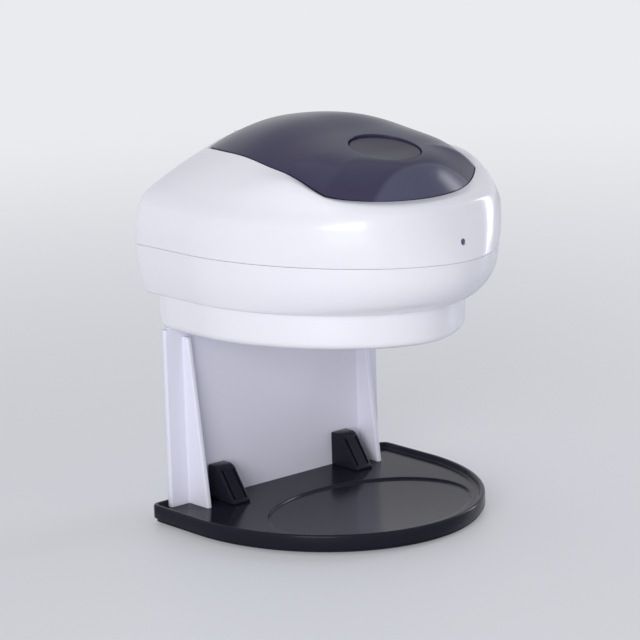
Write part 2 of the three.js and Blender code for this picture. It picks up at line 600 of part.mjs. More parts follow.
// the skirt's side walls where they run back past the edges of the panel, with a rounded lower corner
function skirtEars() {
  const rear = PANEL.front + PANEL.thick;
  const inner = skirtHalf - SKIRT.wall;
  const high = stepZ - skirtBottom;
  const levels = skirtEdgeShares.map(([up, inset]) => [
    { ...shrunk(skirtPlan, inset * SKIRT.edge), back: rear }, skirtBottom + up * SKIRT.edge]);
  const form = stacked([...levels, [{ ...skirtTop, back: rear }, stepZ]]);
  const corner = [];
  for (let i = 0; i <= smallSides / 2; i += 1) {
    const turn = (Math.PI * i) / smallSides;
    corner.push([
      THREE.MathUtils.lerp(SKIRT.back, rear, Math.sin(turn)), skirtBottom + high * (1 - Math.cos(turn))]);
  }
  const front = SKIRT.back - SKIRT.wall;
  const profile = outline([...corner, [front, stepZ], [front, skirtBottom]]);
  const ears = pushed(profile, 2 * skirtTop.half, planeYZ).translate([-skirtTop.half, 0, 0]).intersect(form);
  return cut(ears, block([-inner, inner], [front - cutOver, rear + cutOver], around(stepZ, 2 * high)));
}

function baseCover() {
  const wallPlan = (z) => ({
    ...skirtPlan, half: THREE.MathUtils.mapLinear(z, skirtBottom, skirtRimZ, skirtHalf, skirtTop.half) });
  const edges = skirtEdgeShares.map(([up, inset]) => [
    shrunk(skirtPlan, inset * SKIRT.edge), skirtBottom + up * SKIRT.edge]);
  const body = stacked([...edges, [skirtTop, skirtRimZ]]);
  const well = stacked([
    [shrunk(wallPlan(skirtFloor), SKIRT.wall), skirtFloor],
    [shrunk(skirtTop, SKIRT.wall), skirtRimZ + cutOver]]);
  const posts = baseScrews.map(([x, y]) => bar(
    'z', BASE_SCREW.postRadius, [skirtBottom + SKIRT.floor / 2, skirtRimZ], [x, y]));
  const pockets = baseScrews.map(([x, y]) => join(
    bar('z', BASE_SCREW.pocket, [skirtBottom - cutOver, screwSeatZ], [x, y], smallSides),
    bar('z', SCREW.hole, [screwSeatZ - cutOver, skirtRimZ + cutOver], [x, y], smallSides)));
  const boardPosts = [BOARD.innerX + BOARD.postInset, boardOuterX - BOARD.postInset].flatMap((x) => (
    [BOARD.front + BOARD.postInset, BOARD.rear - BOARD.postInset].map((y) => bar(
      'z', BOARD.postRadius, [skirtBottom + SKIRT.floor / 2, skirtFloor + BOARD.high], [x, y],
      smallSides))));
  const floorRun = [skirtBottom - cutOver, skirtFloor + cutOver];
  const doorway = block([-doorHalf - DOOR.gap, doorHalf + DOOR.gap], [doorFront, doorRear], floorRun);
  const pivots = bar(
    'x', boreFor(DOOR.pivot, runGap, smallSides),
    [-doorHalf - DOOR.gap - DOOR.pivotRun, doorHalf + DOOR.gap + DOOR.pivotRun], [doorAxisY, doorAxisZ],
    smallSides);
  const spout = bar('z', NOZZLE.radius + NOZZLE.holeGap, floorRun, [0, PUMP.y]);
  const window = block([-SENSOR.half, SENSOR.half], around(SENSOR.y, SENSOR.deep), floorRun);
  const slot = block(
    around(switchX, SWITCH.knobHalf + SWITCH.travel / 2 + SWITCH.slotGap),
    around(SWITCH.y, SWITCH.knobDeep + SWITCH.slotGap), floorRun);
  return cut(
    join(cut(body, well), skirtEars(), ...posts.flatMap(bothSides), ...boardPosts),
    ...pockets.flatMap(bothSides), doorway, pivots, spout, window, slot,
  );
}

// flat rear plate with two keyholes for wall screws and two bosses that hold the panel's tongue
function rearCover() {
  const gap = HEAD.wall + seamGap;
  const slot = skirtTop.half - seamGap;
  const bottom = stepZ + seamGap;
  const notchTop = bottom + HEAD.ledge;
  const side = [
    [slot, bottom], [slot, notchTop],
    ...bandLevels.slice(1).map(([plan, z]) => [plan.half - gap, z]),
    ...wallLevels.slice(1).map(([plan, z, up]) => [plan.half - gap, z - gap * up]),
    ...domeRingShares.map((share) => {
      const x = shoulderPlan.half * (1 - share);
      return [x * (1 - gap / shoulderPlan.half), domeHeight(x, 0) - gap];
    }),
  ];
  const left = side.slice(0, -1).reverse().map(([x, z]) => [-x, z]);
  const shape = outline([...side, ...left]);
  const keyZ = partingZ + REAR.keyHigh;
  for (const x of [REAR.keyX, -REAR.keyX]) {
    const open = Math.asin(REAR.keySlot / REAR.keyHead);
    const hole = new THREE.Path();
    hole.absarc(x, keyZ, REAR.keyHead, Math.PI / 2 + open, Math.PI / 2 - open, false);
    hole.absarc(x, keyZ + REAR.keyRise, REAR.keySlot, 0, Math.PI, false);
    shape.holes.push(hole);
  }
  const plate = pushed(shape, REAR.thick, planeXZ);
  const seat = PANEL.front + PANEL.thick;
  const boss = bar(
    'y', PANEL_SCREW.bossRadius, [-REAR.thick / 2, seat + seamGap / 2], [PANEL_SCREW.x, panelScrewZ]);
  const sinks = [[PANEL_SCREW.x, panelScrewZ], [rearScrewX, rearScrewZ]].flatMap((place) => [
    bar('y', SCREW.head + seamGap, [cutOver, -SCREW.headHigh - SCREW.sink / 2], place, smallSides),
    bar('y', SCREW.hole, [cutOver, seat - cutOver], place, smallSides)]);
  const lip = block([-slot, slot], [seat + REAR.lipGap, -REAR.thick / 2], [bottom, bottom + REAR.lip]);
  const thickening = bar(
    'y', PANEL_SCREW.bossRadius, [-REAR.thick / 2, -REAR.thick], [rearScrewX, rearScrewZ]);
  return cut(
    join(plate, lip, ...bothSides(boss), ...bothSides(thickening)),
    ...sinks.flatMap(bothSides),
  );
}

const sinkSeat = -SCREW.headHigh - SCREW.sink / 2;
const rearScrew = () => screw('y', sinkSeat, REAR_SCREW.length, [rearScrewX, rearScrewZ], -1);
const panelScrew = () => screw('y', sinkSeat, PANEL_SCREW.length, [PANEL_SCREW.x, panelScrewZ], -1);
const baseScrew = (x, y) => screw('z', screwSeatZ, BASE_SCREW.length, [x, y]);

function ledLens() {
  const front = headFront(ledZ);
  const behind = headFront(ledZ + LED.flangeRadius + HEAD.wall) + HEAD.wall + seamGap;
  return join(
    bar('y', LED.radius, [front + LED.sunk, front + LED.long], [0, ledZ], smallSides),
    bar('y', LED.flangeRadius, [behind, behind + LED.flange], [0, ledZ], smallSides));
}

// ---------- lid ----------

function lid() {
  const plate = domeLayer(0, LID.skin).intersect(lidPrism(LID.gap, LID.rearY - LID.gap));
  const span = [-HINGE.knuckleHalf, HINGE.knuckleHalf];
  const neckBottom = hingeZ - HINGE.neckUnder;
  const neckTop = hingeZ + HINGE.neckOver;
  const neck = join(
    block(span, [HINGE.neckFront, HINGE.neckStep], [neckBottom, neckTop + HINGE.neckRise]),
    block(span, [HINGE.neckStep, HINGE.y], [neckBottom, neckTop]),
    bar('x', HINGE.knuckleRadius, span, [HINGE.y, hingeZ]));
  return cut(
    join(plate, neck),
    bar('x', boreFor(HINGE.pinRadius, runGap, smallSides),
      [-HINGE.pinReach, HINGE.pinReach], [HINGE.y, hingeZ], smallSides),
    bar('z', BUTTON.radius + BUTTON.gap, [partingZ, aboveCrown], [0, BUTTON.y], 2 * roundSides),
  );
}

const hingePin = () => bar(
  'x', HINGE.pinRadius, [-HINGE.pinReach + seamGap, HINGE.pinReach - seamGap], [HINGE.y, hingeZ], smallSides);

function lidButton() {
  const place = [0, BUTTON.y];
  const stemBottom = retainerFloorZ - BUTTON.stemProud;
  const span = [stemBottom, aboveCrown];
  const face = domeLayer(BUTTON.recess, BUTTON.recess + BUTTON.skin)
    .intersect(bar('z', BUTTON.radius, span, place, 2 * roundSides));
  const flange = domeLayer(BUTTON.flangeDrop, BUTTON.flangeDrop + BUTTON.flange)
    .intersect(bar('z', BUTTON.flangeRadius, span, place, 2 * roundSides));
  const stemTop = domeHeight(0, BUTTON.y) - BUTTON.recess - BUTTON.skin / 2;
  return join(
    face, flange, bar('z', BUTTON.seatRadius, [buttonSeatZ, stemTop], place),
    bar('z', BUTTON.stemRadius, [stemBottom, stemTop], place, smallSides));
}

// cup under the lid that carries the button's spring
function buttonRetainer() {
  const place = [0, BUTTON.y];
  const top = retainerFloorZ + RETAINER.high;
  const cup = turned([
    [0, retainerFloorZ - RETAINER.floor], [RETAINER.outer, retainerFloorZ - RETAINER.floor],
    [RETAINER.outer, top], [0, top],
  ], place);
  const room = bar('z', RETAINER.inner, [retainerFloorZ, top + cutOver], place);
  const stemHole = bar(
    'z', RETAINER.stemHole, [retainerFloorZ - RETAINER.floor - cutOver, top], place, smallSides);
  const above = headOuter.translate([0, 0, -LID.skin - RETAINER.under]);
  return cut(cup.intersect(above), room, stemHole);
}

// a spring wound from one unbroken wire
function buttonSpring() {
  const inset = BUTTON_SPRING.wire / 2 + BUTTON_SPRING.gap;
  const low = retainerFloorZ + inset;
  const high = buttonSeatZ - inset;
  class Helix extends THREE.Curve {
    getPoint(t, target = new THREE.Vector3()) {
      const turn = 2 * Math.PI * BUTTON_SPRING.turns * t;
      return target.set(
        BUTTON_SPRING.radius * Math.cos(turn), BUTTON.y + BUTTON_SPRING.radius * Math.sin(turn),
        THREE.MathUtils.lerp(low, high, t));
    }
  }
  const wire = new THREE.Shape();
  wire.absarc(0, 0, BUTTON_SPRING.wire / 2, 0, 2 * Math.PI, false);
  return solidOf(new THREE.ExtrudeGeometry(wire, {
    steps: BUTTON_SPRING.steps * BUTTON_SPRING.turns, extrudePath: new Helix(), curveSegments: 5 }));
}

// ---------- soap tank ----------

const tankPlan = {
  half: HEAD.half - TANK.sideRoom, back: TANK.back, mid: HEAD.mid, front: HEAD.front + TANK.frontRoom,
  round: TANK.round,
};

function soapTank() {
  const levels = (by) => [
    [shrunk(tankPlan, TANK.edge + by), tankBottom + by],
    [shrunk(tankPlan, by), tankBottom + TANK.edge],
    [shrunk(tankPlan, by), tankTop - TANK.shoulderDrop],
    [shrunk(tankPlan, TANK.shoulder + by), tankTop - by],
  ];
  const flangePlan = { ...shrunk(tankPlan, -TANK.flange), back: TANK.back };
  const flangeZ = ledgeTop + TANK.flangeGap;
  const neckTop = tankTop + TANK.neckHigh;
  const neck = [0, neckY];
  const spigot = [0, PUMP.y];
  return cut(
    join(
      stacked(levels(0)),
      stacked([[flangePlan, flangeZ], [flangePlan, flangeZ + TANK.flangeThick]]),
      bar('z', TANK.neckRadius, [tankTop - TANK.wall, neckTop], neck),
      bar('z', TANK.spigotRadius, [tankBottom - TANK.spigotDrop, tankBottom + TANK.wall], spigot),
    ),
    stacked(levels(TANK.wall)),
    bar('z', TANK.neckBore, [tankTop - cutOver, neckTop + cutOver], neck),
    bar('z', TANK.spigotBore, [tankBottom - TANK.spigotDrop - cutOver, tankBottom + cutOver], spigot,
      smallSides),
  );
}

const capInnerTop = tankTop + TANK.neckHigh + CAP.sealRoom;

function tankCap() {
  const knurl = [];
  for (let i = 0; i < 2 * CAP.grips; i += 1) {
    const turn = (Math.PI * i) / CAP.grips;
    const radius = capRadius - (i % 2) * CAP.grip;
    knurl.push([radius * Math.cos(turn), radius * Math.sin(turn)]);
  }
  const low = tankTop + CAP.bottomGap;
  const high = capInnerTop + CAP.top;
  return cut(
    pushed(outline(knurl), high - low).translate([0, neckY, low]),
    bar('z', boreFor(TANK.neckRadius, CAP.gap, roundSides), [low - cutOver, capInnerTop], [0, neckY]),
  );
}

const capSeal = () => turned([
  [TANK.neckBore, capInnerTop - SEAL.gap], [TANK.neckBore, tankTop + TANK.neckHigh + SEAL.gap],
  [TANK.neckRadius, tankTop + TANK.neckHigh + SEAL.gap], [TANK.neckRadius, capInnerTop - SEAL.gap],
  [TANK.neckBore, capInnerTop - SEAL.gap],
], [0, neckY]);

// ---------- batteries ----------

const doorAxisZ = skirtBottom + DOOR.thick / 2;
const doorAxisY = doorRear - DOOR.gap - DOOR.thick / 2;

function batteryBox() {
  const shell = block([-boxHalf, boxHalf], [boxFront, BOX.rear], [skirtFloor, boxTop]);
  const room = (x0, x1) => block(
    [x0, x1], [boxFront + BOX.wall, BOX.rear - BOX.wall], [skirtFloor - cutOver, boxTop - BOX.wall]);
  return cut(shell, room(-boxInner, -BOX.midWall / 2), room(BOX.midWall / 2, boxInner));
}

// one cell, its nub pointing the way given by `way`
function batteryCell(side, y, way) {
  const ends = [BATTERY.inner + BOX.midWall / 2, BATTERY.inner + BOX.midWall / 2 + cellLength];
  const [from, to] = side > 0 ? ends : [-ends[1], -ends[0]];
  const body = way > 0 ? [from, to - BATTERY.nub] : [from + BATTERY.nub, to];
  const nub = way > 0 ? [to - BATTERY.nub - BATTERY.nub, to] : [from, from + BATTERY.nub + BATTERY.nub];
  return join(
    bar('x', BATTERY.radius, body, [y, cellZ], roundSides),
    bar('x', BATTERY.nubRadius, nub, [y, cellZ], smallSides));
}

// sprung end plate that joins the two rows of cells
function batteryContact() {
  const face = boxInner - CONTACT.seat;
  const plate = block(
    [face - CONTACT.plate, face],
    [boxFront + BOX.wall + CONTACT.edge, BOX.rear - BOX.wall - CONTACT.edge], around(cellZ, CONTACT.reach));
  const bumps = [rearRow, frontRow].map((y) => bar(
    'x', CONTACT.bumpRadius / 2, [face - CONTACT.plate - CONTACT.bump, face - CONTACT.plate / 2],
    [y, cellZ], smallSides, CONTACT.bumpRadius));
  return join(plate, ...bumps);
}

function batteryDoor() {
  const rod = bar('x', DOOR.thick / 2, [-doorHalf, doorHalf], [doorAxisY, doorAxisZ], smallSides);
  const pivots = bar(
    'x', DOOR.pivot, around(0, doorHalf + DOOR.pivotRun), [doorAxisY, doorAxisZ], smallSides);
  const leaf = block(
    [-doorHalf, doorHalf], [doorFront + DOOR.gap, doorAxisY], [skirtBottom, skirtBottom + DOOR.thick]);
  return join(leaf, rod, pivots);
}

// ---------- motor, gears and pump ----------

const pitchRadius = (teeth, module) => (teeth * module) / 2;

// a spur gear centred on the origin, one tooth pointing along `phase` from +Y towards +Z
function gear(teeth, module, phase, [from, to], boreRadius) {
  const pitch = pitchRadius(teeth, module);
  const pressure = THREE.MathUtils.degToRad(TRAIN.pressureAngle);
  const base = pitch * Math.cos(pressure);
  const involute = (radius) => {
    const angle = Math.acos(Math.min(base / radius, 1));
    return Math.tan(angle) - angle;
  };
  const half = (radius) => (
    (TRAIN.toothShare * Math.PI) / (2 * teeth) + involute(pitch) - involute(Math.max(radius, base)));
  const root = pitch - module * TRAIN.rootShare;
  const tip = pitch + module * TRAIN.addendumShare;
  const points = [];
  for (let i = 0; i < teeth; i += 1) {
    const middle = phase + (2 * Math.PI * i) / teeth;
    [[root, -1], [pitch, -1], [tip, -1], [tip, 1], [pitch, 1], [root, 1]].forEach(([radius, side]) => {
      const turn = middle + side * half(radius);
      points.push([radius * Math.cos(turn), radius * Math.sin(turn)]);
    });
  }
  const blank = pushed(outline(points), to - from, planeYZ).translate([from, 0, 0]);
  if (!boreRadius) return blank;
  return cut(blank, bar('x', boreRadius, [from - cutOver, to + cutOver], [0, 0], smallSides));
}

// the tooth phase that meshes a follower with its driver, seen along the line of centres
const meshPhase = (line, phase, teeth, followerTeeth) => (
  line + Math.PI - ((phase - line) * teeth) / followerTeeth + Math.PI / followerTeeth);

const gearReach = pitchRadius(PUMP.teeth, PUMP.module);
const wheelAt = [PUMP.y + gearReach, pumpZ];
const idlerAt = [PUMP.y - gearReach, pumpZ];
const motorAt = [MOTOR.y, skirtFloor + MOTOR.high];
// the reduction gear sits where it meets both the pinion and the wheel
const reductionAt = (() => {
  const toMotor = pitchRadius(TRAIN.pinionTeeth + TRAIN.reductionTeeth, TRAIN.module);
  const toWheel = pitchRadius(TRAIN.smallTeeth + TRAIN.wheelTeeth, TRAIN.module);
  const [dy, dz] = [wheelAt[0] - motorAt[0], wheelAt[1] - motorAt[1]];
  const span = Math.hypot(dy, dz);
  const along = (span ** 2 + toMotor ** 2 - toWheel ** 2) / (2 * span);
  const aside = Math.sqrt(toMotor ** 2 - along ** 2);
  return [
    motorAt[0] + (dy * along - dz * -aside) / span,
    motorAt[1] + (dz * along + -dy * aside) / span,
  ];
})();
const lineFrom = (a, b) => Math.atan2(b[1] - a[1], b[0] - a[0]);
const wheelPhase = 0;
const smallPhase = meshPhase(
  lineFrom(wheelAt, reductionAt), wheelPhase, TRAIN.wheelTeeth, TRAIN.smallTeeth);
const reductionPhase = 0;
const pinionPhase = meshPhase(
  lineFrom(reductionAt, motorAt), reductionPhase, TRAIN.reductionTeeth, TRAIN.pinionTeeth);
const drivePhase = 0;
const idlerPhase = meshPhase(lineFrom(wheelAt, idlerAt), drivePhase, PUMP.teeth, PUMP.teeth);
const at = (solid, [y, z]) => solid.translate([0, y, z]);

const motorPinion = () => at(gear(
  TRAIN.pinionTeeth, TRAIN.module, pinionPhase, [TRAIN.pinionFrom, TRAIN.pinionTo],
  boreFor(MOTOR.shaft, runGap, smallSides)), motorAt);

const motorShaft = () => bar(
  'x', MOTOR.shaft, [MOTOR.front - MOTOR.shaftRoot + seamGap, MOTOR.shaftTip], motorAt, smallSides);

function motor() {
  const can = bar('x', MOTOR.radius, [motorRear, MOTOR.front], motorAt)
    .intersect(block(
      [motorRear, MOTOR.front], around(motorAt[0], MOTOR.radius), around(motorAt[1], MOTOR.flat)));
  const boss = bar('x', MOTOR.bossRadius, [MOTOR.front - MOTOR.boss, MOTOR.front + MOTOR.boss], motorAt);
  return cut(
    join(can, boss),
    bar('x', boreFor(MOTOR.shaft, runGap, smallSides),
      [MOTOR.front - MOTOR.shaftRoot, MOTOR.front + cutOver], motorAt, smallSides));
}

function reductionGear() {
  const bore = boreFor(TRAIN.shaft, runGap, smallSides);
  return at(join(
    gear(TRAIN.reductionTeeth, TRAIN.module, reductionPhase, [TRAIN.reductionFrom, TRAIN.reductionTo], bore),
    gear(TRAIN.smallTeeth, TRAIN.module, smallPhase, [TRAIN.reductionTo, TRAIN.smallTo], bore),
  ), reductionAt);
}

const reductionShaft = () => bar('x', TRAIN.shaft, [BRACKET.from, PUMP.from + PUMP.flange], reductionAt,
  smallSides);

const pumpWheel = () => at(gear(
  TRAIN.wheelTeeth, TRAIN.module, wheelPhase, [TRAIN.wheelFrom, TRAIN.wheelTo],
  boreFor(TRAIN.shaft, runGap, smallSides)), wheelAt);

const pumpDriveGear = () => join(
  at(gear(PUMP.teeth, PUMP.module, drivePhase, [PUMP.gearFrom, PUMP.gearTo]), wheelAt),
  bar('x', TRAIN.shaft, [TRAIN.wheelFrom, PUMP.faceX + PUMP.bearing], wheelAt, smallSides));

const pumpIdlerGear = () => at(gear(
  PUMP.teeth, PUMP.module, idlerPhase, [PUMP.gearFrom, PUMP.gearTo],
  boreFor(PUMP.pinRadius, runGap, smallSides)), idlerAt);

const idlerPin = () => bar(
  'x', PUMP.pinRadius, [PUMP.from, PUMP.faceX + PUMP.bearing], idlerAt, smallSides);

const nozzleTop = skirtFloor + seamGap / 2 + NOZZLE.flange;

// two overlapping rounds, the plan of a gear pump
const twinRound = (radius, span, sides) => [wheelAt, idlerAt].map((place) => bar(
  'x', radius, span, place, sides));

function pumpBody() {
  const cavity = pitchRadius(PUMP.teeth, PUMP.module) + PUMP.module * TRAIN.addendumShare + PUMP.cavityGap;
  const waist = block(
    [PUMP.from, PUMP.faceX], [idlerAt[0], wheelAt[0]], [pumpZ - PUMP.radius, pumpZ + PUMP.radius]);
  const plate = [PUMP.from, PUMP.from + PUMP.flange];
  const flange = block(
    plate, [idlerAt[0] - PUMP.radius, PUMP.flangeRear], [pumpZ - PUMP.radius, pumpZ + PUMP.radius]);
  const foot = block(plate, [PUMP.footFront, PUMP.flangeRear], [skirtFloor, pumpZ]);
  const port = [0, PUMP.y];
  const outletBottom = nozzleTop - NOZZLE.socket + seamGap;
  return cut(
    join(
      waist, flange, foot, ...twinRound(PUMP.radius, [PUMP.from, PUMP.faceX]),
      bar('z', PUMP.inletRadius, [pumpZ, inletTop], port, smallSides),
      bar('z', PUMP.outletRadius, [outletBottom, pumpZ], port, smallSides)),
    ...twinRound(boreFor(cavity, 0, roundSides), [PUMP.cavityFrom, PUMP.faceX + cutOver], roundSides),
    bar('z', PUMP.port, [pumpZ, inletTop + cutOver], port, smallSides),
    bar('z', PUMP.port, [outletBottom - cutOver, pumpZ], port, smallSides),
    ...[wheelAt, idlerAt, reductionAt].map((place) => bar(
      'x', boreFor(TRAIN.shaft, runGap, smallSides), [PUMP.from - cutOver, PUMP.faceX], place, smallSides)),
  );
}

function pumpCover() {
  const from = PUMP.faceX;
  const to = PUMP.faceX + PUMP.cover;
  const waist = block([from, to], [idlerAt[0], wheelAt[0]], [pumpZ - PUMP.radius, pumpZ + PUMP.radius]);
  return cut(
    join(waist, ...twinRound(PUMP.radius, [from, to])),
    ...[wheelAt, idlerAt].map((place) => bar(
      'x', boreFor(TRAIN.shaft, runGap, smallSides), [from - cutOver, from + PUMP.bearing + seamGap], place,
      smallSides)));
}

// plate that carries the motor and the reduction shaft, with posts to the pump's flange
function driveBracket() {
  const plate = block(
    [BRACKET.from, BRACKET.to], [BRACKET.front, BRACKET.rear], [skirtFloor, skirtFloor + BRACKET.high]);
  const frontPostY = BRACKET.front + BRACKET.postInset;
  const postPlaces = [
    [frontPostY, skirtFloor + BRACKET.postLow], [frontPostY, skirtFloor + BRACKET.postHigh],
    [PUMP.flangeRear - BRACKET.rearPostInset, skirtFloor + BRACKET.rearPostLow],
  ];
  const posts = postPlaces.map((place) => bar(
    'x', BRACKET.postRadius, [BRACKET.to - seamGap, PUMP.from], place, smallSides));
  return cut(
    join(plate, ...posts),
    bar('x', boreFor(MOTOR.bossRadius, seamGap / 2, roundSides),
      [BRACKET.from - cutOver, BRACKET.to + cutOver], motorAt),
    bar('x', boreFor(TRAIN.shaft, runGap, smallSides), [BRACKET.from - cutOver, BRACKET.to + cutOver],
      reductionAt, smallSides));
}

function inletTube() {
  const bore = boreFor(PUMP.inletRadius, TUBE.fit, smallSides);
  const low = pumpZ + PUMP.radius + TUBE.bottomGap;
  const high = tankBottom - TUBE.topGap;
  return turned([
    [bore, high], [bore, low], [bore + TUBE.wall, low], [bore + TUBE.wall, high], [bore, high],
  ], [0, PUMP.y], smallSides);
}

function nozzle() {
  const low = nozzleTop - NOZZLE.flange;
  const tip = skirtBottom - NOZZLE.drop;
  const place = [0, PUMP.y];
  return cut(
    turned([
      [0, tip], [NOZZLE.tipRadius, tip],
      [NOZZLE.radius, skirtBottom - NOZZLE.taperDrop], [NOZZLE.radius, low],
      [NOZZLE.flangeRadius, low], [NOZZLE.flangeRadius, nozzleTop], [0, nozzleTop],
    ], place),
    bar('z', boreFor(PUMP.outletRadius, TUBE.fit, smallSides),
      [nozzleTop - NOZZLE.socket, nozzleTop + cutOver], place, smallSides),
    bar('z', NOZZLE.bore, [tip - cutOver, nozzleTop], place, smallSides));
}

function nozzleValve() {
  const low = skirtBottom - NOZZLE.drop + VALVE.rise;
  return turned([
    [VALVE.bore, low + VALVE.high], [VALVE.bore, low], [VALVE.radius / 2 + VALVE.bore, low],
    [VALVE.radius, low + VALVE.high / 2], [VALVE.radius, low + VALVE.high], [VALVE.bore, low + VALVE.high],
  ], [0, PUMP.y], smallSides);
}

// ---------- electronics ----------

const circuitBoard = () => block(
  [BOARD.innerX, boardOuterX], [BOARD.front, BOARD.rear],
  [skirtFloor + BOARD.high, skirtFloor + BOARD.high + BOARD.thick]);

function sensorWindow() {
  const fit = SENSOR.gap;
  const rim = skirtFloor + SENSOR.flangeThick;
  return join(
    block([-SENSOR.half + fit, SENSOR.half - fit],
      [SENSOR.y - SENSOR.deep + fit, SENSOR.y + SENSOR.deep - fit], [skirtBottom + SENSOR.sunk, rim]),
    block([-SENSOR.half - SENSOR.flange, SENSOR.half + SENSOR.flange],
      [SENSOR.y - SENSOR.deep - SENSOR.flange, SENSOR.y + SENSOR.deep + SENSOR.flange], [skirtFloor, rim]));
}

function irEye(x) {
  const low = skirtFloor + SENSOR.flangeThick + SENSOR.gap;
  const high = low + SENSOR.ledHigh;
  return turned([
    [0, low], [SENSOR.ledRadius / 2, low + SENSOR.gap], [SENSOR.ledRadius, low + SENSOR.ledRadius],
    [SENSOR.ledRadius, high - SENSOR.ledRimHigh], [SENSOR.ledRim, high - SENSOR.ledRimHigh],
    [SENSOR.ledRim, high], [0, high],
  ], [x, SENSOR.y], smallSides);
}

function switchBody() {
  return cut(
    block(
      around(switchX, SWITCH.half), around(SWITCH.y, SWITCH.deep), [skirtFloor, skirtFloor + SWITCH.high]),
    block(
      around(switchX, SWITCH.plateHalf + SWITCH.travel / 2 + seamGap),
      around(SWITCH.y, SWITCH.plateDeep + seamGap), [skirtFloor - cutOver, skirtFloor + SWITCH.pocket]));
}

function switchSlider() {
  const x = switchX - SWITCH.travel / 2;
  const low = skirtFloor + SWITCH.lift;
  return join(
    block(around(x, SWITCH.plateHalf), around(SWITCH.y, SWITCH.plateDeep), [low, low + SWITCH.plate]),
    block(
      around(x, SWITCH.knobHalf), around(SWITCH.y, SWITCH.knobDeep),
      [skirtBottom - SWITCH.knobProud, low]));
}

// ---------- materials ----------

const finish = (color, roughness, metalness = 0, opacity = 1) => ({
  color, roughness, metalness, opacity, transparent: opacity < 1,
});
const FINISH = {
  shellWhite: finish(0xf1f1f7, 0.22),
  panelWhite: finish(0xdcdcec, 0.4),
  smoky: finish(0x46465a, 0.12, 0, 0.85),
  smokyButton: finish(0x3c3c4e, 0.16, 0, 0.9),
  black: finish(0x0f0f14, 0.15),
  rubber: finish(0x1c1c1e, 0.9),
  tank: finish(0xe6ecf2, 0.35, 0, 0.7),
  capGrey: finish(0x8d93a0, 0.5),
  silicone: finish(0xdfe3e6, 0.6, 0, 0.8),
  gearWhite: finish(0xeeeae0, 0.5),
  steel: finish(0xb9bcc2, 0.3, 1),
  motorCan: finish(0xa8acb3, 0.35, 1),
  board: finish(0x1d6b3a, 0.5),
  innerGrey: finish(0x5a5d66, 0.6),
  cell: finish(0x35373d, 0.4, 0.3),
  brass: finish(0xc9a24a, 0.35, 1),
  lensDark: finish(0x1a0d14, 0.1),
  ledBlue: finish(0x4a4f8c, 0.15),
};

// ---------- assembly ----------

const dispenser = new THREE.Group();
dispenser.name = 'soap_dispenser';
// the origin lies under the middle of the head's depth, on the table
dispenser.position.y = -HEAD.front / 2;

function place(name, solid, material) {
  const mesh = new THREE.Mesh(geometryOf(solid), new THREE.MeshStandardMaterial(FINISH[material]));
  mesh.name = name;
  dispenser.add(mesh);
}

// two mirrored copies of one right-hand piece
function placePair(name, solid, material) {
  place(`${name}_right`, solid, material);
  place(`${name}_left`, mirrored(solid), material);
}

place('drip_tray', dripTray(), 'black');
placePair('tray_foot_rear', trayFoot(FOOT.rearY, FOOT.rearRoom), 'rubber');
placePair('tray_foot_front', trayFoot(TRAY.front + FOOT.frontInset, FOOT.frontRoom), 'rubber');
place('back_panel', backPanel(), 'panelWhite');
placePair('panel_clip', panelClip(), 'black');
placePair('clip_screw', clipScrew(), 'steel');

place('upper_shell', upperShell(), 'shellWhite');
place('lower_shell', lowerShell(), 'shellWhite');
place('base_cover', baseCover(), 'shellWhite');
place('rear_cover', rearCover(), 'panelWhite');
placePair('rear_cover_screw', rearScrew(), 'steel');
placePair('panel_screw', panelScrew(), 'steel');
placePair('base_screw_rear', baseScrew(...baseScrews[0]), 'steel');
placePair('base_screw_front', baseScrew(...baseScrews[1]), 'steel');
place('led_lens', ledLens(), 'ledBlue');

place('lid', lid(), 'smoky');
place('lid_hinge_pin', hingePin(), 'steel');
place('lid_button', lidButton(), 'smokyButton');
place('button_retainer', buttonRetainer(), 'innerGrey');
place('button_spring', buttonSpring(), 'steel');

place('soap_tank', soapTank(), 'tank');
place('tank_cap', tankCap(), 'capGrey');
place('cap_seal', capSeal(), 'silicone');
place('inlet_tube', inletTube(), 'silicone');

place('battery_box', batteryBox(), 'innerGrey');
place('battery_cell_rear_right', batteryCell(1, rearRow, 1), 'cell');
place('battery_cell_rear_left', batteryCell(-1, rearRow, 1), 'cell');
place('battery_cell_front_right', batteryCell(1, frontRow, -1), 'cell');
place('battery_cell_front_left', batteryCell(-1, frontRow, -1), 'cell');
placePair('battery_contact', batteryContact(), 'brass');
place('battery_door', batteryDoor(), 'shellWhite');

place('motor', motor(), 'motorCan');
place('motor_shaft', motorShaft(), 'steel');
place('motor_pinion', motorPinion(), 'brass');
place('reduction_gear', reductionGear(), 'gearWhite');
place('reduction_shaft', reductionShaft(), 'steel');
place('drive_bracket', driveBracket(), 'innerGrey');
place('pump_wheel', pumpWheel(), 'gearWhite');
place('pump_body', pumpBody(), 'gearWhite');
place('pump_cover', pumpCover(), 'gearWhite');
place('pump_drive_gear', pumpDriveGear(), 'steel');
place('pump_idler_gear', pumpIdlerGear(), 'steel');
place('idler_pin', idlerPin(), 'steel');
place('nozzle', nozzle(), 'innerGrey');
place('nozzle_valve', nozzleValve(), 'silicone');

place('circuit_board', circuitBoard(), 'board');
place('sensor_window', sensorWindow(), 'lensDark');
place('ir_emitter', irEye(-SENSOR.ledX), 'lensDark');
place('ir_receiver', irEye(SENSOR.ledX), 'lensDark');
place('switch_body', switchBody(), 'innerGrey');
place('switch_slider', switchSlider(), 'black');

export default dispenser;
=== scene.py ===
import json
import math
from functools import partial

import bmesh
import bpy
import numpy as np
from mathutils import Matrix, Vector


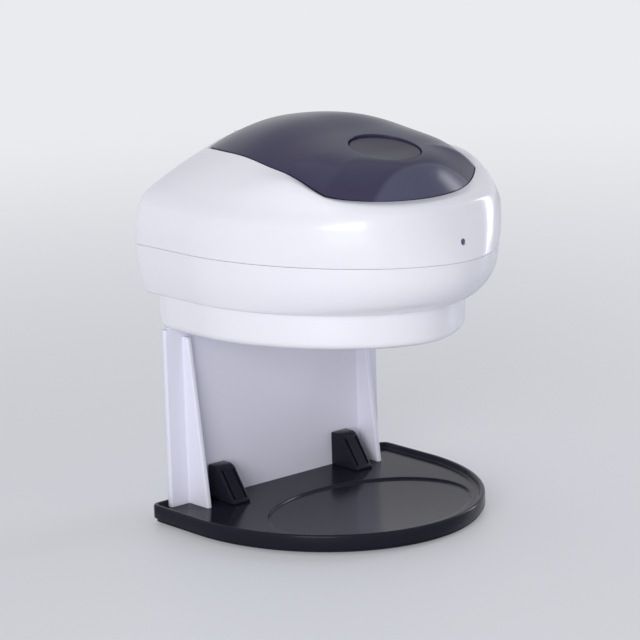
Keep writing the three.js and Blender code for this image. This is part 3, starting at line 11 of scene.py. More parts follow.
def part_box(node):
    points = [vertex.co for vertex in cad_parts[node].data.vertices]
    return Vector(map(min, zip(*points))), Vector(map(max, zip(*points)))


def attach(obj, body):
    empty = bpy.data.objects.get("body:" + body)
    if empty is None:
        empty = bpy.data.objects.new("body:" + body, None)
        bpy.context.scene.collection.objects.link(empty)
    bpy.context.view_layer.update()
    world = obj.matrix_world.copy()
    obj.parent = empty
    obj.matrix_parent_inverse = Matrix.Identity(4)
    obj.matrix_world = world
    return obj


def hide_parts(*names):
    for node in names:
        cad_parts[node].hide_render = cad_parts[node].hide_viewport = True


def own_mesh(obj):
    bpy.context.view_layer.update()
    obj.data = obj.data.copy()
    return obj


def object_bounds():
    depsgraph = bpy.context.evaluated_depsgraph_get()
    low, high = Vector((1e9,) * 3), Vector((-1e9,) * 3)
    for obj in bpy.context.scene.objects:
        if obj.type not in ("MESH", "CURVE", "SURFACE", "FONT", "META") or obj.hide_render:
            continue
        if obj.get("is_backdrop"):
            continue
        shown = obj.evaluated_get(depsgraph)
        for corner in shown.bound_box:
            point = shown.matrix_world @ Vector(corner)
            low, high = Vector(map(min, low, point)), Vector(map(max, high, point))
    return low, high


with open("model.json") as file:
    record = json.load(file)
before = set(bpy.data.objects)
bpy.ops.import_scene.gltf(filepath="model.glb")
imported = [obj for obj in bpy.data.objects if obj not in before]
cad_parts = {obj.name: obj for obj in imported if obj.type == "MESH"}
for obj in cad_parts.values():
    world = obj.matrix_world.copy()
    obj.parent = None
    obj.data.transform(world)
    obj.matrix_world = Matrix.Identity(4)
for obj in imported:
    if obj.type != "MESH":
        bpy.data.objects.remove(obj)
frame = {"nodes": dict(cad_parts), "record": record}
cad_low, cad_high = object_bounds()

# Camera. A long lens looks down a little at the front left corner of the dispenser.
# Its place and turn were solved from the outlines of the tray, panel and head.
CAMERA_AT = Vector((-0.9127, -1.02345, 0.4270))
CAMERA_YAW = math.radians(-40.88)
CAMERA_DIP = math.radians(13.23)
CAMERA_ROLL = math.radians(-1.67)


def placed(name, data):
    """A new object in the scene."""
    thing = bpy.data.objects.new(name, data)
    bpy.context.scene.collection.objects.link(thing)
    return thing


camera = placed("camera", bpy.data.cameras.new("camera"))
camera.data.sensor_width = 36
camera.data.lens = 157.92
camera.data.clip_start = 0.05
camera.data.clip_end = 30
camera.matrix_world = (
    Matrix.Translation(CAMERA_AT) @ Matrix.Rotation(CAMERA_YAW, 4, "Z")
    @ Matrix.Rotation(math.pi / 2 - CAMERA_DIP, 4, "X") @ Matrix.Rotation(CAMERA_ROLL, 4, "Z"))
bpy.context.scene.camera = camera

# Studio. An even pale world that the camera, gloss and glass see as near white. A broad lamp low
# on the left lights the wall more than the crown, a narrow one on the right draws a bright line
# beside the front, and a weak one hangs above.
bpy.context.scene.view_settings.view_transform = "Standard"
PALE = (0.82, 0.83, 0.86, 1)
world = bpy.data.worlds.new("studio")
bpy.context.scene.world = world
world.use_nodes = True
sky = world.node_tree
sky.nodes.clear()


def wire(tree, node, inputs):
    """Sets or links a node's inputs. A node given as a value stands for its first output."""
    for label, value in inputs.items():
        if isinstance(value, bpy.types.Node):
            value = value.outputs[0]
        if isinstance(value, bpy.types.NodeSocket):
            tree.links.new(value, node.inputs[label])
        else:
            node.inputs[label].default_value = value
    return node


def add_node(tree, kind, inputs, **settings):
    """Adds a node with its settings, then sets or links its inputs by name or place."""
    node = tree.nodes.new(kind)
    for label, value in settings.items():
        setattr(node, label, value)
    return wire(tree, node, inputs)


def reckon(tree, operation, *values, **settings):
    """A sum of numbers or of what other nodes give."""
    return add_node(tree, "ShaderNodeMath", dict(enumerate(values)), operation=operation, **settings)


ray = sky.nodes.new("ShaderNodeLightPath").outputs
seen_or_gloss = reckon(sky, "ADD", ray["Is Camera Ray"], ray["Is Glossy Ray"], use_clamp=True)
seen_at_all = reckon(sky, "ADD", seen_or_gloss, ray["Is Transmission Ray"], use_clamp=True)
sky_light = add_node(sky, "ShaderNodeBackground", {"Color": (0.93, 0.94, 1, 1), "Strength": 0.43})
sky_seen = add_node(sky, "ShaderNodeBackground", {"Color": PALE, "Strength": 1})
sky_mix = add_node(sky, "ShaderNodeMixShader", {"Fac": seen_at_all, 1: sky_light, 2: sky_seen})
add_node(sky, "ShaderNodeOutputWorld", {"Surface": sky_mix})


def soft_light(name, place, aim, size, power, colour):
    lamp = bpy.data.lights.new(name, "AREA")
    lamp.shape = "RECTANGLE"
    lamp.size, lamp.size_y = size
    lamp.energy = power
    lamp.color = colour
    holder = placed(name, lamp)
    holder.location = place
    holder.rotation_mode = "QUATERNION"
    holder.rotation_quaternion = (Vector(aim) - Vector(place)).to_track_quat("-Z", "Y")


soft_light("key_light", (-1.2, -0.75, 0.4), (0, 0, 0.13), (0.7, 0.7), 10.6, (1, 1, 1))
soft_light("top_light", (0.1, 0.1, 1.25), (0, 0, 0.15), (0.9, 0.9), 1.6, (0.96, 0.97, 1))
soft_light("side_light", (1.15, -0.13, 0.4), (0, 0, 0.15), (0.22, 0.9), 4.5, (0.93, 0.94, 1))

# Floor. A pale satin floor. Close to the dispenser it keeps the shadow and the soft gloss, and
# further out the camera sees it fade into the pale world behind.
FLOOR_HALF = 4.0
floor_mesh = bpy.data.meshes.new("floor")
FLOOR_CORNERS = ((-1, -1), (1, -1), (1, 1), (-1, 1))
floor_mesh.from_pydata([(x * FLOOR_HALF, y * FLOOR_HALF, 0) for x, y in FLOOR_CORNERS], [], [(0, 1, 2, 3)])
floor = placed("floor", floor_mesh)


def new_look(name):
    """A material with its node tree, its shader and the piece's own coordinates."""
    look = bpy.data.materials.new(name)
    look.use_nodes = True
    tree = look.node_tree
    return look, tree, tree.nodes["Principled BSDF"], tree.nodes.new("ShaderNodeTexCoord").outputs["Object"]


floor_look, floor_tree, floor_shader, floor_where = new_look("pale_floor")
wire(floor_tree, floor_shader, {"Base Color": (0.74, 0.75, 0.78, 1), "Roughness": 0.5})
floor_far = add_node(floor_tree, "ShaderNodeEmission", {"Color": PALE})
floor_away = add_node(floor_tree, "ShaderNodeVectorMath", {0: floor_where}, operation="LENGTH")
floor_fade = add_node(floor_tree, "ShaderNodeMapRange", {
    "Value": floor_away.outputs["Value"], "From Min": 0.15, "From Max": 1.3, "To Min": 0.25},
    interpolation_type="SMOOTHSTEP")
floor_ray = floor_tree.nodes.new("ShaderNodeLightPath")
floor_share = reckon(floor_tree, "MULTIPLY", floor_fade, floor_ray.outputs["Is Camera Ray"])
floor_mix = add_node(floor_tree, "ShaderNodeMixShader", {"Fac": floor_share, 1: floor_shader, 2: floor_far})
wire(floor_tree, floor_tree.nodes["Material Output"], {"Surface": floor_mix})
floor_mesh.materials.append(floor_look)
floor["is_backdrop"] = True

# Drip tray. One glossy black moulding with a raised rim, a low lip underneath and a shallow
# oval recess in its floor that catches the drips. Two screws pass up through it into the clips.
MM = 0.001
REAR_SHIFT = round(cad_high[1] / MM, 2)
looks = {}


def metres(x, y, z):
    """A place in metres from one in millimetres, whose y is measured from the head's rear plane."""
    return x * MM, (y + REAR_SHIFT) * MM, z * MM


def bare_mesh(name, points, faces):
    """A closed or open skin from points in millimetres."""
    mesh = bpy.data.meshes.new(name)
    mesh.from_pydata([metres(*point) for point in points], [], faces)
    work = bmesh.new()
    work.from_mesh(mesh)
    bmesh.ops.remove_doubles(work, verts=work.verts, dist=1e-7)
    bmesh.ops.recalc_face_normals(work, faces=work.faces)
    work.to_mesh(mesh)
    work.free()
    return placed(name, mesh)


def finished(piece, slot, body="housing", nodes=(), angle=40, look=None):
    """Smooth shading, the slot's finish or another one, and the body that the piece moves with."""
    piece.data.shade_smooth()
    piece.data.set_sharp_from_angle(angle=math.radians(angle))
    piece.data.materials.clear()
    piece.data.materials.append(looks[look or slot])
    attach(piece, body)
    if nodes:
        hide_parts(*nodes)


def settle(piece, drop=()):
    """Turns a piece with live modifiers into a plain mesh."""
    bpy.context.view_layer.update()
    evaluated = piece.evaluated_get(bpy.context.evaluated_depsgraph_get())
    mesh = bpy.data.meshes.new_from_object(evaluated)
    piece.modifiers.clear()
    piece.data = mesh
    for extra in drop:
        bpy.data.objects.remove(extra)
    return piece


def carve(piece, cutters):
    """Cuts holes and channels out of a piece."""
    for cutter in cutters:
        cut = piece.modifiers.new("cut", "BOOLEAN")
        cut.object = cutter
        cut.operation = "DIFFERENCE"
        cut.solver = "EXACT"
    return settle(piece, cutters)


def soften(piece, width, segments=3, limit=35):
    """Rounds the edges of a piece, live until it is settled."""
    edge = piece.modifiers.new("soften", "BEVEL")
    edge.width = width * MM
    edge.segments = segments
    edge.limit_method = "ANGLE"
    edge.angle_limit = math.radians(limit)
    return piece


def ring_faces(rows, count, closed=True, first=0):
    """Quads between rows of equal length."""
    faces = []
    for row in range(rows - 1):
        for k in range(count if closed else count - 1):
            after = (k + 1) % count
            a, b = first + row * count, first + (row + 1) * count
            faces.append((a + k, a + after, b + after, b + k))
    return faces


def turned(name, profile, place, sides=48, axis="z", hollow=False):
    """A body turned about a line through place. A hollow one joins its last point to its first."""
    rows = list(profile) + ([profile[0]] if hollow else [])
    points = []
    for radius, along in rows:
        for k in range(sides):
            angle = 2 * math.pi * k / sides
            a, b = radius * math.cos(angle), radius * math.sin(angle)
            points.append({
                "x": (along, place[0] + a, place[1] + b),
                "y": (place[0] + a, along, place[1] + b),
                "z": (place[0] + a, place[1] + b, along),
            }[axis])
    faces = ring_faces(len(rows), sides)
    if not hollow:
        for row in (0, len(rows) - 1):
            if rows[row][0] > 0:
                faces.append(tuple(range(row * sides, (row + 1) * sides)))
    return bare_mesh(name, points, faces)


def arc(x, y, radius, start, end, count):
    """Points on a circle between two angles, which are given in quarter turns."""
    angles = np.linspace(start * math.pi / 2, end * math.pi / 2, count)
    return [(x + radius * math.cos(a), y + radius * math.sin(a)) for a in angles]


def curved_front(half, mid, front, power, count):
    """The left half of a curved front, from the straight side almost to the tip."""
    turns = [math.pi / 2 * k / count for k in range(count)]
    return [(-half * math.cos(turn) ** (2 / power), mid + (front - mid) * math.sin(turn) ** (2 / power))
            for turn in turns]


def d_outline(half, back, mid, front, power, corner):
    """A D-shaped outline: flat rear, rounded corners, straight sides up to mid and a curved front."""
    side, rear = 8, 14
    left = arc(-half + corner, back - corner, corner, 1, 2, 7)
    start = left[-1][1]
    left += [(-half, start + (mid - start) * k / side) for k in range(1, side)]
    left += curved_front(half, mid, front, power, 44)
    right = [(-x, y) for x, y in reversed(left)]
    edge = left[0][0]
    rear_line = [(-edge + 2 * edge * k / rear, back) for k in range(1, rear)]
    return np.array(left + [(0, front)] + right + rear_line)


def at_height(outline, z):
    return np.column_stack([outline, np.full(len(outline), z)])


def stacked(name, rows, hollow=False, skin=False, closed=True):
    """A body, or a bare skin, from outlines of equal length, one above the other."""
    count = len(rows[0])
    rows = list(rows) + ([rows[0]] if hollow else [])
    faces = ring_faces(len(rows), count, closed)
    if not hollow and not skin:
        faces += [tuple(range(count)), tuple(range((len(rows) - 1) * count, len(rows) * count))]
    return bare_mesh(name, np.vstack(rows), faces)


def plastic(name, colour, roughness, grain, coat=0.0, cast=0.0, gloss_level=0.5, peel_depth=0.06):
    """Moulded plastic: a faint orange peel, cloudy gloss and a slight drift of colour."""
    looks[name], tree, shader, where = new_look(name)
    peel = add_node(tree, "ShaderNodeTexNoise", {"Vector": where, "Scale": grain, "Detail": 3})
    bump = add_node(tree, "ShaderNodeBump", {"Strength": peel_depth, "Distance": 0.0002, "Height": peel})
    cloud = add_node(tree, "ShaderNodeTexNoise", {"Vector": where, "Scale": 26, "Detail": 2})
    gloss = add_node(tree, "ShaderNodeMapRange", {
        "Value": cloud, "To Min": roughness * 0.85, "To Max": roughness * 1.2})
    drift = add_node(tree, "ShaderNodeMix", {
        "Factor": cloud, "A": (*colour, 1), "B": (*[c * (1 - cast) for c in colour[:2]], colour[2], 1)},
        data_type="RGBA")
    wire(tree, shader, {
        "Base Color": drift.outputs["Result"], "Roughness": gloss, "Normal": bump,
        "Specular IOR Level": gloss_level, "Coat Weight": coat, "Coat Roughness": 0.08})
    return tree, shader, where


plastic("tray_black", (0.015, 0.015, 0.024), 0.16, 900, cast=0.1, gloss_level=0.1)
TRAY_HALF, TRAY_BACK, TRAY_MID, TRAY_FRONT, TRAY_CORNER = 81.2, -3.7, -40.8, -133.4, 5.0
TRAY_UNDER, TRAY_FLOOR, TRAY_RIM, TRAY_POWER = 5.1, 7.5, 10.3, 2.0
RECESS_MIDDLE, RECESS_HALF, RECESS_DEEP, RECESS_FLOOR = -81.8, 58.3, 42.1, 6.3
CLIP_X, CLIP_SCREW_Y, SCREW_WAY = 42.3, -16.9, 1.75
HANDS = (("right", 1), ("left", -1))


def tray_ring(inset, z):
    return at_height(d_outline(
        TRAY_HALF - inset, TRAY_BACK - inset, TRAY_MID, TRAY_FRONT + inset, TRAY_POWER,
        max(TRAY_CORNER - inset, 0.6)), z)


def recess_ring(like, grow, z):
    """A ring round the recess, matched point for point to the tray's outline."""
    angle = np.arctan2(like[:, 1] - RECESS_MIDDLE, like[:, 0])
    return np.column_stack([
        (RECESS_HALF + grow) * np.cos(angle), RECESS_MIDDLE + (RECESS_DEEP + grow) * np.sin(angle),
        np.full(len(like), z)])


tray_rows = [tray_ring(*row) for row in [
    (3.6, TRAY_UNDER), (3.6, 1.5), (3.3, 1.2), (1.8, 1.2), (1.4, 1.5), (1.4, 2.9), (1.2, 3.1), (0.3, 3.3),
    (0.0, 3.6), (0.0, 9.3), (0.12, 9.8), (0.42, 10.15), (0.85, TRAY_RIM), (1.7, TRAY_RIM), (2.1, 10.2),
    (2.4, 9.9), (2.75, 8.4), (3.1, 7.8), (3.6, 7.55), (4.4, TRAY_FLOOR)]]
tray_rows += [recess_ring(tray_rows[-1], *row) for row in [
    (1.2, TRAY_FLOOR), (0.5, 7.46), (0.1, 7.3), (-0.2, 6.7), (-0.7, 6.36), (-1.6, RECESS_FLOOR)]]
tray = stacked("drip_tray_moulding", tray_rows)
carve(tray, [
    turned(f"screw_way_{hand}", [(SCREW_WAY, 3), (SCREW_WAY, 9)], (way * CLIP_X, CLIP_SCREW_Y), 24)
    for hand, way in HANDS])
finished(tray, "tray_black", nodes=["drip_tray"], angle=50)

# Tray feet. Four turned rubber pads pressed under the tray floor.
plastic("foot_rubber", (0.018, 0.018, 0.018), 0.7, 1500, peel_depth=0.3)
SPOTS = ("rear_right", "rear_left", "front_right", "front_left")
for spot in SPOTS:
    low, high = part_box(f"tray_foot_{spot}")
    middle = ((low[0] + high[0]) / 2 / MM, (low[1] + high[1]) / 2 / MM - REAR_SHIFT)
    foot = turned(f"rubber_foot_{spot}", [
        (0, 0.35), (3.4, 0.35), (3.9, 0), (4.6, 0), (5.4, 0.25), (5.9, 0.9), (6, 1.6), (6, TRAY_UNDER),
        (0, TRAY_UNDER)], middle)
    finished(foot, "foot_rubber", nodes=[f"tray_foot_{spot}"])

# Back panel. A flat white moulding that stands in the tray behind the clips and passes up
# between the skirt's rear corners into the head, where two screws hold its tongue.
plastic("panel_white", (0.82, 0.815, 0.92), 0.34, 700, cast=0.03)
PANEL_HALF, NECK_HALF, PANEL_FRONT, PANEL_REAR, PANEL_EDGE = 71.6, 68.8, -9.9, -6.4, 0.8
PANEL_TOP, NECK_TOP = 100.3, 118.8
FIN_X, FIN_HALF, FIN_TOP, FIN_DEEP, FIN_TAPER, NO_FIN = 58.7, 1.5, 94.4, 15.0, 0.1333, 0.02
PANEL_SCREW_X, PANEL_SCREW_Z, PILOT = 28.0, 130.0, 1.6
TONGUE_HALF, TONGUE_LOW, TONGUE_TOP, TONGUE_INSET = 40, 115.5, 138, 0.1


def panel_section(deep, z, half=PANEL_HALF):
    """Plan of the panel at one height, with the fins standing deep in front of it."""
    root, tip = min(1.0, deep * 0.4), min(1.1, deep * 0.4)
    fin = arc(-FIN_HALF - root, PANEL_FRONT - root, root, 1, 0, 5)
    fin += arc(-FIN_HALF + tip, PANEL_FRONT - deep + tip, tip, 2, 3, 5)
    fin = fin + [(-x, y) for x, y in reversed(fin)]
    edge, cheek = PANEL_EDGE, PANEL_EDGE * 0.3
    plan = [(-half, PANEL_FRONT + edge), (-half + cheek, PANEL_FRONT + cheek), (-half + edge, PANEL_FRONT)]
    plan += [(x - FIN_X, y) for x, y in fin]
    plan += [(-x, y) for x, y in reversed(plan)]
    rear = [(half, PANEL_REAR - edge), (half - cheek, PANEL_REAR - cheek), (half - edge, PANEL_REAR)]
    plan += rear + [(-x, y) for x, y in reversed(rear)]
    return np.array([(x, y, z) for x, y in plan])


panel_rows = [panel_section(FIN_DEEP - FIN_TAPER * rise, TRAY_FLOOR + rise)
              for rise in np.linspace(0, FIN_TOP - TRAY_FLOOR, 13)]
panel_rows += [panel_section(*row) for row in [
    (3.1, FIN_TOP + 0.5), (2.4, FIN_TOP + 0.8), (NO_FIN, FIN_TOP + 0.9), (NO_FIN, PANEL_TOP - 0.2),
    (NO_FIN, PANEL_TOP, PANEL_HALF - 0.2), (NO_FIN, PANEL_TOP, NECK_HALF), (NO_FIN, NECK_TOP, NECK_HALF)]]
panel = stacked("back_panel_moulding", panel_rows)
finished(panel, "panel_white", nodes=["back_panel"], angle=50)


def block(name, x, y, z, edge=0.0):
    """A rectangular moulding or cutter, with softened edges where edge is given."""
    corners = [(a, b, c) for a in x for b in y for c in z]
    piece = bare_mesh(name, corners, [
        (0, 1, 3, 2), (4, 6, 7, 5), (0, 4, 5, 1), (2, 3, 7, 6), (0, 2, 6, 4), (1, 5, 7, 3)])
    return settle(soften(piece, edge)) if edge else piece


tongue = block(
    "back_panel_tongue", (-TONGUE_HALF, TONGUE_HALF),
    (PANEL_FRONT + TONGUE_INSET, PANEL_REAR - TONGUE_INSET), (TONGUE_LOW, TONGUE_TOP), 0.5)
carve(tongue, [
    turned(f"tongue_hole_{hand}", [(PILOT, PANEL_FRONT - 3), (PILOT, PANEL_REAR + 3)],
           (way * PANEL_SCREW_X, PANEL_SCREW_Z), 24, "y")
    for hand, way in HANDS])
finished(tongue, "panel_white")

# Panel clips. Two glossy black wedges that pin the panel's foot to the tray. Two narrow grooves
# down the sloping front leave a raised pad between thin ribs, and a small lip closes the bottom.
CLIP_HALF, CLIP_BACK, CLIP_LOW, CLIP_HIGH, CLIP_NOSE = 5.5, -10.2, TRAY_FLOOR, 25.5, 3.0
CLIP_TOP_FRONT, CLIP_FOOT_FRONT = CLIP_BACK - 8.5, CLIP_BACK - 19.5
CLIP_LIP_HIGH, CLIP_GROOVE_TOP = CLIP_LOW + 2.4, CLIP_HIGH - 2.2
CLIP_RIB, CLIP_GROOVE, CLIP_GROOVE_DEEP, CLIP_CUT = 1.2, 1.3, 1.6, 8


def clip_profile():
    """The wedge from the side: a rounded top, a slope and a low lip along its foot."""
    slope = (CLIP_TOP_FRONT - CLIP_FOOT_FRONT) / (CLIP_HIGH - CLIP_LOW)
    points = [(CLIP_BACK, CLIP_LOW), (CLIP_BACK, CLIP_HIGH)]
    for turn in np.linspace(0, math.pi / 2, 7):
        fall = 1 - math.cos(turn)
        points.append((
            CLIP_TOP_FRONT + CLIP_NOSE * (1 - math.sin(turn) - slope * fall),
            CLIP_HIGH - CLIP_NOSE * fall))
    lip = [(0, CLIP_LIP_HIGH), (-0.5, CLIP_LOW + 2.0), (-1.5, CLIP_LOW + 1.9), (-1.6, CLIP_LOW)]
    return points + [(CLIP_FOOT_FRONT + ahead_by, z) for ahead_by, z in lip]


def pushed(name, outline, low, high, axis="x"):
    """An outline pushed along one axis between two places."""
    ends = [[(along, a, b) if axis == "x" else (a, along, b) for a, b in outline] for along in (low, high)]
    count = len(outline)
    faces = ring_faces(2, count) + [tuple(range(count)), tuple(range(count, 2 * count))]
    return bare_mesh(name, ends[0] + ends[1], faces)


for hand, way in HANDS:
    inner, outer = way * CLIP_X - CLIP_HALF, way * CLIP_X + CLIP_HALF
    clip = settle(soften(pushed(f"panel_clip_wedge_{hand}", clip_profile(), inner, outer), 1.0))
    groove = [
        (CLIP_TOP_FRONT + CLIP_GROOVE_DEEP, CLIP_GROOVE_TOP), (CLIP_TOP_FRONT - CLIP_CUT, CLIP_GROOVE_TOP),
        (CLIP_FOOT_FRONT - CLIP_CUT, CLIP_LIP_HIGH), (CLIP_FOOT_FRONT + CLIP_GROOVE_DEEP, CLIP_LIP_HIGH)]
    carve(clip, [
        pushed(f"groove_inner_{hand}", groove, inner + CLIP_RIB, inner + CLIP_RIB + CLIP_GROOVE),
        pushed(f"groove_outer_{hand}", groove, outer - CLIP_RIB - CLIP_GROOVE, outer - CLIP_RIB)])
    finished(clip, "tray_black", nodes=[f"panel_clip_{hand}"], angle=35)

# Base cover. The white skirt under the head: a D-shaped cup whose floor carries the spout,
# the sensor window, the battery door and the power switch. Its side walls run back past the
# panel's edges, and four hollow posts inside take the screws that hold it to the head.
plastic("shell_white", (0.86, 0.86, 0.905), 0.24, 620, coat=0.25, cast=0.02)
SKIRT_BACK, SKIRT_MID, SKIRT_FRONT, SKIRT_POWER = -10.0, -41.1, -132.7, 1.75
SKIRT_HALF_LOW, SKIRT_HALF_TOP, SKIRT_WALL = 71.6, 72.4, 2.5
SKIRT_BOTTOM, SKIRT_TOP, SKIRT_FLOOR, STEP_Z = 100.9, 126.4, 103.4, 119.4
SKIRT_EDGE, EAR_LOW, EAR_FRONT = 4.0, 101.6, -11.0
EDGE_TOP, EAR_INNER = SKIRT_BOTTOM + SKIRT_EDGE, SKIRT_HALF_LOW - SKIRT_WALL
BASE_SCREWS = [(64.0, -28.0), (-64.0, -28.0), (44.09, -98.0), (-44.09, -98.0)]
SEAT_Z, POCKET, POST_RADIUS = 118.0, 3.2, 4.3
DOOR_HALF, DOOR_FRONT, DOOR_REAR, DOOR_GAP, DOOR_END_GAP = 56.2, -48.2, -15.8, 0.4, 0.6
SPOUT_Y, FLOOR_CUT = -96, (98, 106)
BOARD_POSTS = [(16.4, -105.6), (34.59, -105.6), (16.4, -60.4), (34.59, -60.4)]


def skirt_half(z):
    up = (z - SKIRT_BOTTOM) / (SKIRT_TOP - SKIRT_BOTTOM)
    return SKIRT_HALF_LOW + (SKIRT_HALF_TOP - SKIRT_HALF_LOW) * up


def skirt_ring(inset, z):
    return at_height(d_outline(
        skirt_half(z) - inset, SKIRT_BACK - inset, SKIRT_MID, SKIRT_FRONT + inset, SKIRT_POWER,
        max(0.8 - inset, 0.3)), z)


skirt_rows = [skirt_ring(*row) for row in [
    (SKIRT_WALL, SKIRT_FLOOR), (SKIRT_WALL, SKIRT_TOP - 0.3), (SKIRT_WALL - 0.3, SKIRT_TOP),
    (0.3, SKIRT_TOP)]]
skirt_rows += [skirt_ring(0, z) for z in np.linspace(SKIRT_TOP - 0.3, EDGE_TOP, 7)]
skirt_rows += [skirt_ring(*row) for row in arc(SKIRT_EDGE, EDGE_TOP, SKIRT_EDGE, 2, 3, 9)[1:]]
skirt = stacked("base_cover_moulding", skirt_rows)
carve(skirt, [
    block("doorway", (-DOOR_HALF - DOOR_END_GAP, DOOR_HALF + DOOR_END_GAP),
          (DOOR_FRONT - DOOR_GAP, DOOR_REAR + DOOR_GAP), FLOOR_CUT),
    block("window_hole", (-13, 13), (-121, -111), FLOOR_CUT),
    block("slider_slot", (47.6, 58.4), (-66.6, -61.4), FLOOR_CUT),
    turned("spout_hole", [(6.9, z) for z in FLOOR_CUT], (0, SPOUT_Y)),
    *[turned(f"screw_pocket_{spot}", [(POCKET, z) for z in FLOOR_CUT], place, 32)
      for spot, place in zip(SPOTS, BASE_SCREWS)]])
finished(skirt, "shell_white", nodes=["base_cover"], angle=50)

for hand, way in HANDS:
    ear_rows = []
    for z in np.concatenate([np.linspace(EAR_LOW, EDGE_TOP, 8), np.linspace(106, STEP_Z, 9)]):
        fall = max(0.0, EDGE_TOP - z)
        outer = skirt_half(z) - (SKIRT_EDGE - math.sqrt(max(SKIRT_EDGE**2 - fall**2, 0)))
        share = (z - SKIRT_BOTTOM) / (STEP_Z - SKIRT_BOTTOM)
        rear = SKIRT_BACK + (PANEL_REAR - SKIRT_BACK) * math.sqrt(1 - (1 - share) ** 2)
        soft = min(0.7, (outer - EAR_INNER) * 0.4)
        section = [(EAR_INNER, EAR_FRONT), (outer, EAR_FRONT)]
        section += arc(outer - soft, rear - soft, soft, 0, 1, 5) + [(EAR_INNER, rear)]
        ear_rows.append(np.array([(way * x, y, z) for x, y in section]))
    finished(stacked(f"base_cover_ear_{hand}", ear_rows), "shell_white", angle=50)
for spot, place in zip(SPOTS, BASE_SCREWS):
    post = turned(f"base_cover_post_{spot}", [
        (POCKET, 102.0), (POST_RADIUS, 102.0), (POST_RADIUS, 126.1), (4.0, SKIRT_TOP), (SCREW_WAY, SKIRT_TOP),
        (SCREW_WAY, SEAT_Z), (POCKET, SEAT_Z)], place, 32, hollow=True)
    finished(post, "shell_white")
for k, place in enumerate(BOARD_POSTS):
    finished(turned(f"board_post_{k + 1}", [(2.6, 102.5), (2.4, 106.7), (2.1, 107)], place, 24),
             "shell_white")

# Lower shell. The white band under the parting line. It bulges, then turns under to the skirt
# with a flat ledge that leaves a shadow line. Inside are a shelf for the tank and four lugs.
PARTING_Z, SHOULDER_Z, HEAD_HALF, HEAD_MID, HEAD_FRONT = 145.1, 171.4, 80.0, -41.1, -155.5
HEAD_POWER, WALL = 1.84, 2.4
BAND_UP, BAND_SIDE, BAND_FRONT = [0, 0.15, 0.36, 0.6, 1], [1, 0.72, 0.4, 0.16, 0], [1, 0.66, 0.34, 0.12, 0]
BAND_NARROWS, BAND_SHORTENS, LEDGE_TUCK, LEDGE_HIGH = 5.2, 18.4, 0.5, 1.2
SHELF_LOW, SHELF_TOP, SHELF_ROOT, SHELF_REACH = 140.0, 142.4, 1.2, 7.0
LUG_ENDS, LUG_HALF, LUG_LOW, LUG_TOP = (76.2, 76.2, 58.5, 58.5), 4.2, 126.8, 131.2


def smooth_table(at, xs, ys):
    """A smooth curve through a table, whose slopes are the means of the chords beside them."""
    xs, ys = np.array(xs, float), np.array(ys, float)
    chords = np.diff(ys) / np.diff(xs)
    slopes = np.concatenate([[chords[0]], (chords[1:] + chords[:-1]) / 2, [chords[-1]]])
    at = np.clip(np.asarray(at, float), xs[0], xs[-1])
    k = np.clip(np.searchsorted(xs, at, side="right") - 1, 0, len(xs) - 2)
    step = xs[k + 1] - xs[k]
    t = (at - xs[k]) / step
    return ((2 * t**3 - 3 * t**2 + 1) * ys[k] + (t**3 - 2 * t**2 + t) * step * slopes[k]
            + (3 * t**2 - 2 * t**3) * ys[k + 1] + (t**3 - t**2) * step * slopes[k + 1])


def u_outline(half, front, power):
    """The head's outline without its rear line: up the left side, round the front, down the right."""
    left = [(-half, HEAD_MID * k / 16) for k in range(16)] + curved_front(half, HEAD_MID, front, power, 60)
    return np.array(left + [(0, front)] + [(-x, y) for x, y in reversed(left)])


def band_half(up):
    """Half width of the band at a share of its height."""
    return HEAD_HALF - BAND_NARROWS * smooth_table(up, BAND_UP, BAND_SIDE)


def skinned(piece, thickness, centre, soft=0.35):
    """Turns an open skin's faces away from a point inside, gives it a wall and rounds its rims."""
    work = bmesh.new()
    work.from_mesh(piece.data)
    inside = Vector(metres(*centre))
    outward = sum((f.calc_center_median() - inside).dot(f.normal) * f.calc_area() for f in work.faces)
    if outward < 0:
        bmesh.ops.reverse_faces(work, faces=work.faces)
    work.to_mesh(piece.data)
    work.free()
    wall = piece.modifiers.new("wall", "SOLIDIFY")
    wall.thickness = thickness * MM
    wall.offset = -1
    wall.use_even_offset = True
    return settle(soften(piece, soft, limit=55))


band_rows = [at_height(u_outline(half, front, power), STEP_Z)
             for half, front, power in [(72.7, -133.0, 1.75), (73.4, -134.4, 1.78)]]
for z in np.concatenate([[119.4, 119.6, 119.95, 120.5, 121.2], np.linspace(122.2, 144.95, 18)]):
    up = (z - STEP_Z) / (PARTING_Z - STEP_Z)
    tuck = LEDGE_TUCK * max(0.0, 1 - (z - STEP_Z) / LEDGE_HIGH) ** 2
    front = HEAD_FRONT + BAND_SHORTENS * smooth_table(up, BAND_UP, BAND_FRONT)
    band_rows.append(at_height(u_outline(band_half(up) - tuck, front + tuck, HEAD_POWER), z))
band = stacked("lower_shell_moulding", band_rows, skin=True, closed=False)
skinned(band, WALL, (0, -60, 140))
finished(band, "shell_white", nodes=["lower_shell"], angle=50)
shelf_rows = [at_height(u_outline(HEAD_HALF - inset, HEAD_FRONT + inset, HEAD_POWER), z)[3:-3]
              for inset, z in [(SHELF_ROOT, SHELF_LOW), (SHELF_REACH, SHELF_LOW), (SHELF_REACH, SHELF_TOP),
                               (SHELF_ROOT, SHELF_TOP), (SHELF_ROOT, SHELF_LOW)]]
shelf_count = len(shelf_rows[0])
shelf_faces = ring_faces(5, shelf_count, False)
shelf_faces += [tuple(k * shelf_count + end for k in range(4)) for end in (0, shelf_count - 1)]
shelf = bare_mesh("lower_shell_shelf", np.vstack(shelf_rows), shelf_faces)
finished(shelf, "shell_white", angle=50)
